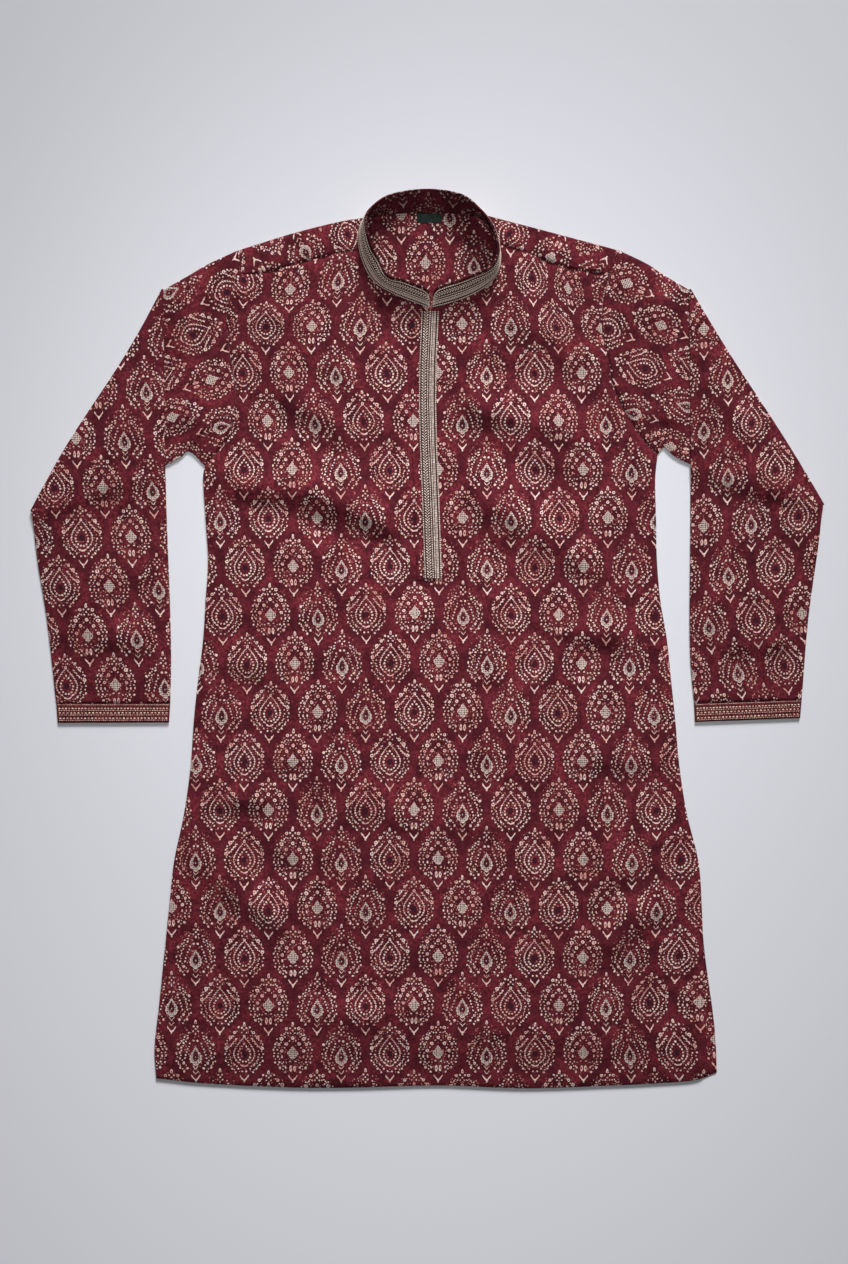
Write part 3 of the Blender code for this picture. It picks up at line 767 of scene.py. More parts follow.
# Outlines round the middle: millimetres from it at these degrees from the tip
Reach = namedtuple("Reach", "degrees loop diamond drop")
OUTER_LINE = [
    Reach(0, 22.4, 11.5, 9.6),
    Reach(9, 19.4, 9.2, 8.0),
    Reach(19, 17.0, 7.9, 6.5),
    Reach(32, 14.9, 7.0, 5.4),
    Reach(49, 13.6, 6.8, 4.9),
    Reach(64, 13.1, 7.1, 5.0),
    Reach(77, 12.7, 5.2, 5.4),
    Reach(90, 12.3, 4.1, 5.9),
    Reach(108, 11.7, 3.4, 6.9),
    Reach(126, 11.2, 3.1, 8.4),
    Reach(150, 11.1, 3.3, 10.0),
    Reach(180, 13.8, 4.7, 11.8),
]
INNER_LINE = [
    Reach(0, 22.4, 11.4, 6.3),
    Reach(19, 17.0, 8.1, 4.3),
    Reach(49, 13.6, 6.4, 3.3),
    Reach(90, 12.3, 5.2, 3.3),
    Reach(126, 11.2, 3.9, 4.4),
    Reach(150, 11.1, 3.9, 6.2),
    Reach(180, 13.8, 4.6, 7.8),
]
LINE_HALF = 0.58
# Beads that fill the diamond and the band of the drop, and the loose seeds between the dots
BEAD_TURN = 1.3
SEED_PITCH = 2.9
SEED_RADIUS = 1.25
DOT_SWELL = -0.44
AXIS_LOW, AXIS_HIGH = -40.0, 46.0
# Slanting lines under the drops: how far down they meet the axis, their slope, the share of a
# height that is across them, half their width, and how far out they go
Slant = namedtuple("Slant", "low slope across half wide")
TAIL = Slant(31.3, 1.3, 0.61, 0.75, 5.3)
CHEVRON = Slant(19.8, 1.15, 0.66, 0.42, 3.2)
CHEVRON_APART = 3
STEM_HALF, STEM_LOW, STEM_LONG = 0.8, 31.1, 2.2
# Ovals of an even tone: how much taller than wide, how far up, and the square of half the height
Oval = namedtuple("Oval", "stretch middle square")
MOTIF_OVAL = Oval(1.6, 8.0, 900)
LOOP_HEART = Oval(1.6, 1.6, 15)
DROP_HEART = Oval(2.2, -1.8, 9)
# The waver of printed lines: how fine it is, to the millimetre, and how far it moves them
WAVER_SCALE, WAVER = 0.55, 1.3
# The rope along the outer outline: how far its twist leans, how close it is, how far it swells
ROPE_LEAN, ROPE_TWIST, ROPE_SWELL = 2.2, 0.95, 0.5
# Millimetres from the print at which each mask starts and is full
THREAD_EDGE = (0.3, -0.3)
SHADE_EDGE = (1.7, 0.4)
FIELD_EDGE = (4.2, 2.4)
SEED_EDGE = (0.7, 1.3)
# How the tables of dots and outlines are packed into ramps and curves
KEY_EDGE = 0.03
CHART_WIDE, CHART_TALL, CHART_DOT = 40.0, 80.0, 4.0
LONGEST_REACH = 30.0
HOLLOW_OVER, HOLLOW_MIDDLE, HOLLOW_WALL = 1.7, 0.6, 0.3
FAR = 30


def packed_key(share, kind):
    """Place in a table that holds the three kinds end to end."""
    return (share * (1 - 2 * KEY_EDGE) + KEY_EDGE + kind) / KINDS


def chart_ramp(tree, key, chart, share_of):
    """Colour ramp that names, for each place, the dot nearest to it."""
    node = tree.nodes.new("ShaderNodeValToRGB")
    feed(tree, node.inputs[0], key)
    ramp = node.color_ramp
    ramp.interpolation = "CONSTANT"
    stops = []
    for kind, dots in chart.items():
        dots = sorted(dots, key=share_of)
        shares = [share_of(dot) for dot in dots]
        starts = [0.0] + [(a + b) / 2 for a, b in zip(shares, shares[1:])]
        for place, (start, dot) in enumerate(zip(starts, dots)):
            at = kind / KINDS if place == 0 else packed_key(start, kind)
            colour = (dot.x / CHART_WIDE, (dot.y + CHART_TALL / 2) / CHART_TALL, dot.radius / CHART_DOT)
            stops.append((at, (*colour, dot.stretch + 0.5)))
    while len(ramp.elements) < len(stops):
        ramp.elements.new(1.0)
    for element, (at, colour) in zip(ramp.elements, stops):
        element.position = at
        element.color = colour
    return node.outputs["Color"], Wire(tree, node.outputs["Alpha"])


def chart_curve(tree, key, rows):
    """Curve that gives an outline's distance from the middle, in millimetres."""
    node = tree.nodes.new("ShaderNodeFloatCurve")
    feed(tree, node.inputs["Value"], key)
    curve = node.mapping.curves[0]
    places = []
    for kind in range(KINDS):
        for row in rows:
            places.append((packed_key(row.degrees / 180, kind), row[kind + 1] / LONGEST_REACH))
    while len(curve.points) < len(places):
        curve.points.new(0.5, 0.5)
    for point, place in zip(curve.points, places):
        point.location = place
        point.handle_type = "VECTOR"
    node.mapping.update()
    return Wire(tree, node.outputs[0]) * LONGEST_REACH


def seeds_between(chart, share_of):
    """Chart of small dots midway between the dots of another."""
    between = {}
    for kind, dots in chart.items():
        dots = sorted(dots, key=share_of)
        pairs = zip(dots, dots[1:])
        between[kind] = [Dot((a.x + b.x) / 2.1, (a.y + b.y) / 2.1, SEED_RADIUS) for a, b in pairs]
    return between


def ring_of_dots(tree, place, key, chart, share_of, upright, sideways):
    """Distance in millimetres to the nearest dot of a chart, negative inside it."""
    colour, stretch = chart_ramp(tree, key, chart, share_of)
    node = tree.nodes.new("ShaderNodeVectorMath")
    node.operation = "MULTIPLY_ADD"
    feed(tree, node.inputs[0], colour)
    node.inputs[1].default_value = (CHART_WIDE, CHART_TALL, CHART_DOT)
    node.inputs[2].default_value = (0, -CHART_TALL / 2, DOT_SWELL)
    dot = Wire(tree, node.outputs[0])
    radius = split(tree, dot)[2]
    away = vector(tree, "SUBTRACT", place, dot)
    across = vector(tree, "DOT_PRODUCT", away, sideways, output="Value") * (stretch + 0.5)
    along = vector(tree, "DOT_PRODUCT", away, upright, output="Value") * (stretch * -1 + 1.5)
    length = (across * across + along * along).made("SQRT")
    hollow = radius.made("GREATER_THAN", HOLLOW_OVER)
    middle = radius * hollow * HOLLOW_MIDDLE
    wide = radius * (hollow * (HOLLOW_WALL - 1) + 1)
    return abs(length - middle) - wide


def by_turn(dot):
    """Share of the way round from the tip at which a dot lies."""
    return math.atan2(dot.x, dot.y) / math.pi


def by_height(dot):
    """Share of the way up the axis at which a dot lies."""
    return (dot.y - AXIS_LOW) / (AXIS_HIGH - AXIS_LOW)


def half_pitch(row):
    """Shift of a row of drops, in pitches: half a one in odd rows, to either side in turn."""
    return (row * (math.pi / 2)).made("SINE") * 0.5


class Drop:
    """The drop that each place belongs to, and where in it the place lies, in millimetres."""

    def __init__(self, tree, cloth):
        self.tree = tree
        u, v, _ = split(tree, cloth)
        u, v = u / PITCH, v / -ROW
        raised = v + CELL_RAISE / ROW
        row = raised.made("FLOOR")
        bound = ((raised - row) * math.pi).made("COSINE") * 0.5 + 0.5
        column = u - half_pitch(row)
        off_middle = abs(column - column.made("ROUND")) * 2
        row = row + 1 - off_middle.under(bound)
        column = u - half_pitch(row)
        number = column.made("ROUND")
        self.kind = number.made("FLOORED_MODULO", KINDS)
        self.x = abs(column - number) * PITCH
        self.y = (row - v) * ROW
        self.reach = (self.x * self.x + self.y * self.y).made("SQRT").higher(0.01)
        self.key = packed_key(self.x.made("ARCTAN2", self.y) / math.pi, self.kind)
        self.outer = chart_curve(tree, self.key, OUTER_LINE)
        self.inner = chart_curve(tree, self.key, INNER_LINE)

    def of_kind(self, kind):
        """1 in the drops of this kind."""
        return abs(self.kind - kind).under(0.5)

    def within(self, oval):
        """1 inside an oval on the axis."""
        off = self.y - oval.middle
        return (self.x * self.x * oval.stretch + off * off).under(oval.square)

    def dots(self):
        """Distances to the dots of each ring, to the seeds between them and to the axis dots."""
        tree = self.tree
        place = node_with(tree, "ShaderNodeCombineXYZ", X=self.x, Y=self.y)
        outward = node_scale(tree, place, self.reach.made("POWER", -1))
        out_x, out_y, _ = split(tree, outward)
        sideways = node_with(tree, "ShaderNodeCombineXYZ", X=out_y, Y=out_x * -1)
        between = [seeds_between(chart, by_turn) for chart in (OUTER_RING, SECOND_RING)]
        near = [
            ring_of_dots(tree, place, self.key, chart, by_turn, sideways, outward)
            for chart in (OUTER_RING, SECOND_RING, INNER_RING, *between)
        ]
        share = (self.y - AXIS_LOW) / (AXIS_HIGH - AXIS_LOW)
        key = packed_key(share.higher(0).lower(1), self.kind)
        near.append(ring_of_dots(tree, place, key, AXIS, by_height, (0, 1, 0), (1, 0, 0)))
        return near

    def in_diamond(self):
        """1 inside the outline of the diamonds."""
        return self.of_kind(DIAMOND) * self.reach.under(self.outer - 0.3)

    def line(self):
        """Distance to the rope along the outer outline."""
        twist = ((self.reach + self.y * ROPE_LEAN) * ROPE_TWIST).made("SINE")
        return abs(self.reach - self.outer) - LINE_HALF + twist * ROPE_SWELL

    def beads(self):
        """Distance to the beads that fill the diamonds and the band of the plain drops."""
        band = abs(self.reach - (self.outer + self.inner) * 0.5) - (self.outer - self.inner) * 0.5
        filled = (self.of_kind(DROP) * band.under(0.0)).higher(self.in_diamond())
        up = ((self.x + self.y) * BEAD_TURN).made("SINE")
        down = ((self.x - self.y) * BEAD_TURN + 0.8).made("SINE")
        return filled * (up * down * -1.1 - 2.2) + 2.0

    def slanting(self, slant, apart):
        """Distance to slanting lines, one this far above and one this far below their middle."""
        off = abs(self.y + slant.low - self.x * slant.slope)
        off = abs(off - apart) if apart else off
        return (off * slant.across - slant.half).higher(self.x - slant.wide)

    def tail(self):
        """Distances to the tail, the stem and, under the plain drops, the chevron."""
        stem = (self.x - STEM_HALF).higher(abs(self.y + STEM_LOW) - STEM_LONG)
        chevron = self.slanting(CHEVRON, CHEVRON_APART) + (self.of_kind(DROP) * -FAR + FAR)
        return [self.slanting(TAIL, 0), stem, chevron]


def wavering(tree, cloth):
    """Cloth coordinates in millimetres, with the waver of printed lines."""
    cloth = node_scale(tree, cloth, 1 / MM)
    noises = tree.nodes.new("ShaderNodeTexNoise")
    feed(tree, noises.inputs["Vector"], cloth)
    noises.inputs["Scale"].default_value = WAVER_SCALE
    noises.inputs["Detail"].default_value = 0.0
    shift = vector(tree, "SUBTRACT", noises.outputs["Color"], (0.5, 0.5, 0.5))
    return vector(tree, "ADD", cloth, node_scale(tree, shift, WAVER))


def loose_seeds(tree, cloth):
    """Mask of the loose seeds."""
    cells = tree.nodes.new("ShaderNodeTexVoronoi")
    feed(tree, cells.inputs["Vector"], cloth)
    cells.inputs["Scale"].default_value = 1 / SEED_PITCH
    cells.inputs["Randomness"].default_value = 0.8
    return Wire(tree, cells.outputs["Distance"]).ramp(0.34, 0.2)


def drop_print():
    """Node group of the print: from cloth coordinates in metres to its masks."""
    names = ["Thread", "Shade", "Field", "Seeds", "Grey", "Heart"]
    tree, given, result = shader_group(
        "drop_print",
        [("Cloth", "NodeSocketVector")],
        [(name, "NodeSocketFloat") for name in names],
    )
    cloth = wavering(tree, given.outputs[0])
    drop = Drop(tree, cloth)
    distance = functools.reduce(Wire.lower, [*drop.dots(), drop.line(), drop.beads(), *drop.tail()])
    field = distance.ramp(*FIELD_EDGE)
    seeds = loose_seeds(tree, cloth) * distance.ramp(*SEED_EDGE) * drop.within(MOTIF_OVAL)
    in_drop = drop.of_kind(DROP) * drop.reach.under(drop.outer)
    in_loop = drop.of_kind(LOOP) * drop.within(LOOP_HEART)
    masks = [
        distance.ramp(*THREAD_EDGE),
        distance.ramp(*SHADE_EDGE),
        field,
        field * seeds,
        drop.in_diamond().higher(in_drop),
        in_loop.higher(drop.of_kind(DROP) * drop.within(DROP_HEART)),
    ]
    for name, mask in zip(names, masks):
        tree.links.new(mask.socket, result.inputs[name])
    return tree


def weave_group():
    """Node group of plain weave: height of its threads, and slubs that vary their colour."""
    tree, given, result = shader_group(
        "plain_weave",
        [("Cloth", "NodeSocketVector"), ("Thread Width", "NodeSocketFloat")],
        [("Height", "NodeSocketFloat"), ("Slub", "NodeSocketFloat"), ("Patch", "NodeSocketFloat")],
    )
    place = Wire(tree, given.outputs["Cloth"])
    count = Wire(tree, given.outputs["Thread Width"]).made("POWER", -1) * math.pi
    u, v, _ = split(tree, place)
    warp = abs((u * count).made("SINE"))
    weft = abs((v * count).made("SINE"))
    over = ((u * count).made("SINE") * (v * count).made("SINE")).made("GREATER_THAN", 0)
    height = warp * over + weft * (over * -1 + 1)
    grain = cloth_noise(tree, place, YARN)
    along = node_with(tree, "ShaderNodeMapping", Vector=place, Scale=(1.0, SLUB_STRETCH, 1.0))
    across = node_with(tree, "ShaderNodeMapping", Vector=place, Scale=(SLUB_STRETCH, 1.0, 1.0))
    slub = cloth_noise(tree, along, SLUBS) + cloth_noise(tree, across, SLUBS)
    patch_noise = cloth_noise(tree, place, PATCHES)
    tree.links.new((height * 0.5 + grain).socket, result.inputs["Height"])
    tree.links.new(((slub * 0.5 - 0.5) * 1.6 + grain).socket, result.inputs["Slub"])
    tree.links.new(patch_noise.socket, result.inputs["Patch"])
    return tree


def new_material(name):
    """Material with its tree and its Principled BSDF."""
    made = bpy.data.materials.new(name)
    made.use_nodes = True
    return made, made.node_tree, made.node_tree.nodes["Principled BSDF"]


def place_group(tree, group, **values):
    """Node that uses a group, with these inputs; an underscore stands for a space."""
    node = tree.nodes.new("ShaderNodeGroup")
    node.node_tree = group
    for name, value in values.items():
        feed(tree, node.inputs[name.replace("_", " ")], value)
    return node


def add_bump(tree, shader, height, strength, distance):
    """Fine relief of a surface."""
    bump = tree.nodes.new("ShaderNodeBump")
    bump.inputs["Strength"].default_value = strength
    bump.inputs["Distance"].default_value = distance
    feed(tree, bump.inputs["Height"], height)
    tree.links.new(bump.outputs["Normal"], shader.inputs["Normal"])


def matte(shader, roughness):
    """A surface with hardly any shine."""
    shader.inputs["Roughness"].default_value = roughness
    shader.inputs["Specular IOR Level"].default_value = 0.1


# Roughness of cloth and thread, and strength and depth of their bumps
CLOTH_ROUGHNESS, THREAD_ROUGHNESS = 0.85, 0.6
WEAVE_BUMP = (0.35, 0.0004)
FIBRE_BUMP = (0.4, 0.0002)

MAROON_DEEP = (0.050, 0.0062, 0.0112)
MAROON = (0.226, 0.028, 0.044)
MAROON_BRIGHT = (0.48, 0.060, 0.082)
# Dark of the print's outlines, and also the colour of the painted shade on the collar's cloth
PRINT_DARK_AND_PAINTED_SHADE = (0.024, 0.0040, 0.0045)
PRINT_CREAM = (0.97, 0.69, 0.545)
PRINT_BLUSH = (0.93, 0.64, 0.74)
PRINT_ROSE = (0.76, 0.33, 0.29)
PRINT_GREY = (0.63, 0.51, 0.46)
HEART_PLUM = (0.045, 0.010, 0.020)
PRINTED_THREAD = 0.0007
# How far the print's field, seeds and shade change the ground under them
FIELD_DARKENS, SEEDS_SHOW, SHADE_DARKENS = 0.4, 0.75, 0.7


def printed_cloth(groups, name, strength, painted_shade):
    """The print; strength is how clear it is, and the last argument how far the cloth is darkened in
    patches with painted shade.
    """
    made, tree, shader = new_material(name)
    cloth = tree.nodes.new("ShaderNodeUVMap").outputs[0]
    weave = place_group(tree, groups["weave"], Cloth=cloth, Thread_Width=PRINTED_THREAD)
    pattern = place_group(tree, groups["print"], Cloth=cloth)
    slub = Wire(tree, weave.outputs["Slub"])
    patch_tone = Wire(tree, weave.outputs["Patch"])
    fleck = cloth_noise(tree, cloth, FLECKS)
    cloud = cloth_noise(tree, cloth, CLOUDS)
    grain = fleck.ramp(0.30, 0.70) * 0.45 + cloud.ramp(0.34, 0.66) * 0.45
    grain = grain + slub.ramp(0.2, 0.9) * 0.1
    ground = blend(tree, grain, MAROON_DEEP, MAROON)
    bright = patch_tone.ramp(0.3, 0.7) * fleck.ramp(0.38, 0.72) * cloud.ramp(0.35, 0.65)
    ground = blend(tree, bright, ground, MAROON_BRIGHT)
    ground = blend(tree, Wire(tree, pattern.outputs["Field"]) * FIELD_DARKENS, ground, MAROON_DEEP)
    ground = blend(tree, Wire(tree, pattern.outputs["Seeds"]) * SEEDS_SHOW, ground, PRINT_ROSE)
    ground = blend(tree, Wire(tree, pattern.outputs["Shade"]) * SHADE_DARKENS, ground, PRINT_DARK_AND_PAINTED_SHADE)
    ground = blend(tree, pattern.outputs["Heart"], ground, HEART_PLUM)
    # Painted shade: on the collar the cloth is darkened in patches for the shadow inside the standing
    # collar
    if painted_shade:
        ground = blend(tree, patch_tone * painted_shade, ground, PRINT_DARK_AND_PAINTED_SHADE)
    tone = cloth_noise(tree, cloth, TONES)
    wash = cloth_noise(tree, cloth, WASHES)
    tint = cloth_noise(tree, cloth, TINTS)
    thread = blend(tree, tint.ramp(0.40, 0.66), PRINT_CREAM, PRINT_BLUSH)
    thread = blend(tree, (tone * 0.6 + wash * 0.4).ramp(0.42, 0.60), thread, PRINT_ROSE)
    thread = blend(tree, pattern.outputs["Grey"], thread, PRINT_GREY)
    mask = Wire(tree, pattern.outputs["Thread"]) * slub.ramp(-0.3, 0.5) * strength
    tree.links.new(blend(tree, mask, ground, thread), shader.inputs["Base Color"])
    matte(shader, CLOTH_ROUGHNESS)
    add_bump(tree, shader, weave.outputs["Height"], *WEAVE_BUMP)
    return made


def plain_cloth(groups, name, dark, light, thread_width):
    """Plain woven cloth between two colours."""
    made, tree, shader = new_material(name)
    cloth = tree.nodes.new("ShaderNodeUVMap").outputs[0]
    weave = place_group(tree, groups["weave"], Cloth=cloth, Thread_Width=thread_width)
    slub = Wire(tree, weave.outputs["Slub"])
    tree.links.new(blend(tree, slub.ramp(0.2, 0.9), dark, light), shader.inputs["Base Color"])
    matte(shader, CLOTH_ROUGHNESS)
    add_bump(tree, shader, weave.outputs["Height"], *WEAVE_BUMP)
    return made


def thread_material(name, dark, light):
    """Sewing thread between two colours."""
    made, tree, shader = new_material(name)
    place = tree.nodes.new("ShaderNodeTexCoord").outputs["Object"]
    tone = cloth_noise(tree, place, THREAD_TONES)
    fibre = cloth_noise(tree, place, FIBRES)
    tree.links.new(blend(tree, tone.ramp(0.3, 0.7), dark, light), shader.inputs["Base Color"])
    matte(shader, THREAD_ROUGHNESS)
    add_bump(tree, shader, fibre, *FIBRE_BUMP)
    return made


# Plain cloths: name, darkest and lightest colour, and width of a thread in metres
PLAIN_CLOTHS = {
    "cuff": ("cuff_cloth", (0.050, 0.009, 0.014), (0.20, 0.036, 0.040), 0.0007),
    "braid": ("braid_ground", (0.034, 0.015, 0.014), (0.095, 0.045, 0.040), 0.0006),
    # The collar's braid ground is a lighter copy of the placket's: painted light on the collar's front,
    # which faces away from the lamps
    "collar_braid": ("collar_braid_ground_painted_light", (0.045, 0.020, 0.018), (0.12, 0.062, 0.050), 0.0006),
    "label": ("label_green", (0.010, 0.020, 0.018), (0.030, 0.045, 0.040), 0.0004),
}
THREADS = {
    # The collar's thread is a lighter copy of the braid thread: painted light on the collar's front
    "collar_thread": ((0.95, 0.72, 0.60), (1.0, 0.90, 0.81)),
    "braid_thread": ((0.56, 0.43, 0.37), (0.96, 0.82, 0.74)),
    "cuff_thread": ((0.42, 0.17, 0.14), (0.95, 0.74, 0.60)),
}
# The collar's print is fainter, partly for the plainer maroon of its rim, and its cloth is darker:
# painted shade for the shadow inside the standing collar
COLLAR_PRINT_STRENGTH, COLLAR_PAINTED_SHADE = 0.42, 0.9


def make_finishes():
    """All the materials of the tunic, by short names."""
    groups = {"weave": weave_group(), "print": drop_print()}
    finishes = {
        "printed": printed_cloth(groups, "printed_cloth", 1.0, 0.0),
        # The collar's cloth carries painted shade
        "collar": printed_cloth(groups, "collar_cloth", COLLAR_PRINT_STRENGTH, COLLAR_PAINTED_SHADE),
    }
    for use, recipe in PLAIN_CLOTHS.items():
        finishes[use] = plain_cloth(groups, *recipe)
    for use, colours in THREADS.items():
        finishes[use] = thread_material(use, *colours)
    return finishes


# Cloth coordinates ----------------------------------------------------------------------------

# Where the cloth's print starts on the front and the back
FRONT_PRINT = np.array([219.6, -199.0])
BACK_PRINT = np.array([60.5, -447.0])
COLLAR_PRINT = Point(59, 18)

# Where the front has been pulled out of true: a place, how far round it, and right and up
Pull = namedtuple("Pull", "x y reach right up")
FRONT_PULLS = [
    Pull(-111, 352, 90, -7.2, -1.2),
    Pull(-219, -20, 90, 4.2, 0),
    Pull(231, -62, 105, -3.6, 0),
    Pull(3, -2, 110, 1.2, 3.0),
    Pull(-153, -362, 120, 0.6, -2.2),
    Pull(171, -344, 110, -1.2, -2.6),
    Pull(285, -446, 60, -10, 3.6),
    Pull(195, 426, 48, -26, -23),
    Pull(-169, 426, 44, 0, -18),
    Pull(219, 285, 80, -3, -1.2),
]


def charted(places):
    """Places in the charting units."""
    return places[..., 0] / UNIT + UNIT_X, UNIT_Y - places[..., 1] / UNIT


def front_cloth(places):
    """Cloth coordinates of places on the front."""
    cloth = places + FRONT_PRINT
    for pull in FRONT_PULLS:
        away = places - np.array([pull.x, pull.y])
        share = np.exp(-(away**2).sum(axis=-1, keepdims=True) / pull.reach**2)
        cloth = cloth - share * np.array([pull.right, pull.up])
    return cloth


def back_cloth(places):
    """Cloth coordinates of places on the back."""
    return places + BACK_PRINT


def sleeve_cloth(places, chart):
    """Cloth coordinates of places on a sleeve whose print is charted as a fan or straight."""
    x, y = charted(places)
    if isinstance(chart, Fan):
        across, up = np.abs(x - chart.x), chart.y - y
        angle = np.degrees(np.arctan2(up, across))
        u = (chart.turn * (angle - chart.degrees) / chart.step + chart.column) * PITCH
        v = (np.hypot(across, up) - chart.radius) * UNIT - chart.row * ROW
    else:
        down = y - chart.y
        bent = chart.bend * np.maximum(down - BEND_FROM, 0) ** 2
        u = (x - chart.x - chart.lean * down - bent) * PITCH / chart.wide
        v = (chart.y - chart.slope * (x - chart.x) - y) * ROW / chart.tall
    return np.stack([u, v], axis=-1)


# Pieces ---------------------------------------------------------------------------------------


def add_object(name, data):
    """New object in the scene."""
    made = bpy.data.objects.new(name, data)
    bpy.context.scene.collection.objects.link(made)
    return made


def add_mesh(name, points, faces, cloth, finish):
    """Object from points in millimetres, with cloth coordinates for each face corner."""
    mesh = bpy.data.meshes.new(name)
    mesh.from_pydata((np.asarray(points) * MM).tolist(), [], faces)
    layer = mesh.uv_layers.new(name="cloth")
    layer.data.foreach_set("uv", (np.asarray(cloth) * MM).ravel())
    mesh.materials.append(finish)
    mesh.shade_smooth()
    return add_object(name, mesh)


def corners(values, faces):
    """Values of points as values of face corners."""
    return values[np.concatenate([np.asarray(face) for face in faces])]


def thicken(piece, thick, rounding):
    """Gives a one-sided sheet its wall, with softened edges."""
    wall = piece.modifiers.new("wall", "SOLIDIFY")
    wall.thickness = thick * MM
    wall.offset = 0.0
    wall.use_even_offset = True
    edge = piece.modifiers.new("edge", "BEVEL")
    edge.width = rounding * MM
    edge.segments = 2
    edge.limit_method = "ANGLE"
    edge.angle_limit = math.radians(60)
    return piece


def claim(piece, nodes):
    """The piece rides on the body and stands for these nodes."""
    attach(piece, BODY)
    if nodes:
        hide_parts(*nodes)
    return piece


def grid_faces(rows, columns):
    """Four-sided faces between the points of a grid."""
    starts = [i for i in range((rows - 1) * columns) if i % columns < columns - 1]
    return [(i, i + 1, i + 1 + columns, i + columns) for i in starts]


def soft_floor(height):
    """Height kept above 0 without a sharp corner."""
    return (height + np.sqrt(height**2 + FLOOR_SOFTNESS**2)) / 2


def placket_place(y):
    """Centre line of the placket at these heights up the front."""
    line = np.array(PLACKET_LINE)[::-1]
    return np.interp(y, line[:, 1], line[:, 0])


def loft(x, y, from_edge):
    """How high the front panel stands off its flat place, with its folds."""
    height = LOFT + folds(FRONT_CREASES, x, y)
    height += sum(rippled(x, y, ripple) for ripple in FRONT_RIPPLES)
    from_placket = np.abs(x - placket_place(y)) - PLACKET_LEFT - PLACKET_CLEAR
    below_placket = PLACKET_END - PLACKET_CLEAR - y
    under = ease(1 - from_placket / PLACKET_EASE) * ease(1 - below_placket / PLACKET_EASE)
    height = soft_floor(height) * ease(from_edge / LOFT_MARGIN) * (1 - under)
    roll = rolled(x, y, from_edge, FRONT_ROLL)
    return height + roll * ease((from_placket + PLACKET_CLEAR) / PLACKET_ROLL_FADE)


def shoulder_seam(shoulder, neck_end):
    """Shoulder seam from the armhole to this end at the neck."""
    start = armhole(shoulder.arm, GAP)[SEAM_STEP]
    return smooth_curve([start, *shoulder.seam, neck_end], even(SHOULDER_STEPS))


def front_outline():
    """Outline of the front panel, from the left corner of its hem."""
    left, right = side_seam("left"), side_seam("right")
    left_arm, right_arm = armhole(LEFT_ARM, GAP)[SEAM_STEP:], armhole(RIGHT_ARM, GAP)[SEAM_STEP:]
    neck = front_neck()
    return np.vstack(
        [
            hem_curve(right[0]),
            right[1:],
            right_arm[::-1],
            shoulder_seam(RIGHT_SHOULDER, neck[-1])[1:-1],
            neck[::-1],
            shoulder_seam(LEFT_SHOULDER, neck[0])[-2:0:-1],
            left_arm,
            left[:0:-1],
        ]
    )


def front_panel(finishes):
    """Front of the body, lying on the back."""
    outline = front_outline()
    flat, faces = fill(outline, FRONT_SPACING)
    height = UPPER + loft(flat[:, 0], flat[:, 1], edge_distance(flat, outline))
    points = np.column_stack([flat, height])
    cloth = corners(front_cloth(flat), faces)
    piece = add_mesh("front_cloth", points, faces, cloth, finishes["printed"])
    thicken(piece, CLOTH, CLOTH_EDGE)
    claim(piece, ["front_panel"])


def back_neck():
    """Back neckline of the panel, 1 mm outside the neck seam, left to right."""
    at = np.linspace(LEFT_SHOULDER.fold_at, RIGHT_SHOULDER.fold_at, BACK_NECK_STEPS + 1)
    return neck_row(at)[:, :2] + np.array([0, 1.0])


def shoulder_fold(shoulder):
    """Fold of the back panel over one shoulder, armhole to neck, as the end of its flat part."""
    curve = smooth_curve(shoulder.fold, even(SHOULDER_STEPS)) - np.array([0, EDGE_ROUND])
    seam = armhole(shoulder.arm, GAP)
    curve[0] = seam[0] + unit(seam[1] - seam[0]) * EDGE_ROUND
    return curve


def strip_rows(shoulder, fold):
    """Rows of the shoulder strip where it lies flat, from its fold to its seam."""
    reach = shoulder.seam_at - shoulder.fold_at
    neck_edge = neck_row(shoulder.fold_at + reach * STRIP_ROWS)[:, :2]
    neck_edge = neck_edge + unit(NECK_CENTRE - neck_edge)
    seam = shoulder_seam(shoulder, neck_edge[-1]) + np.array([0, GAP])
    neck_edge[0], neck_edge[-1] = fold[-1], seam[-1]
    side = fold[0] + (seam[0] - fold[0]) * STRIP_ROWS[:, None]
    return patch(fold, seam, side, neck_edge, STRIP_ROWS)


def strip_height(row, share):
    """Height of one row of the strip, with the pucker above its seam."""
    from_end = np.minimum(even(SHOULDER_STEPS), 1 - even(SHOULDER_STEPS))
    roll = STRIP_ROLL * ease(share / STRIP_RISE) * (share < 1) * ease(from_end / STRIP_ENDS)
    pucker = PUCKER + rippled(row[:, 0], row[:, 1] * PUCKER_STRETCH, PUCKER_RIPPLE)
    return UPPER + roll * np.maximum(pucker, PUCKER_LEAST)


def shoulder_strip(shoulder, fold):
    """Rows of the back panel past one shoulder fold, with the flat place of each point."""
    flat = strip_rows(shoulder, fold)
    inward = unit(flat[-1] - fold)
    along = unit(np.gradient(fold, axis=0))
    radius = (UPPER - LOWER) / 2
    moved = np.array(shoulder.print_moved)
    rows, unrolled = [], []
    for step in range(1, TURN_STEPS):
        turn = math.pi * step / TURN_STEPS
        place = fold - inward * radius * math.sin(turn)
        height = LOWER + radius * (1 - math.cos(turn))
        rows.append(np.column_stack([place, np.full(len(place), height)]))
        unrolled.append(fold - inward * radius * turn + moved * step / TURN_STEPS)
    for row, share in zip(flat, STRIP_ROWS):
        rows.append(np.column_stack([row, strip_height(row, share)]))
        past = row - fold
        slid = (past * along).sum(axis=1, keepdims=True) * along
        unrolled.append(fold + 2 * slid - past - inward * radius * math.pi + moved)
    return rows, unrolled


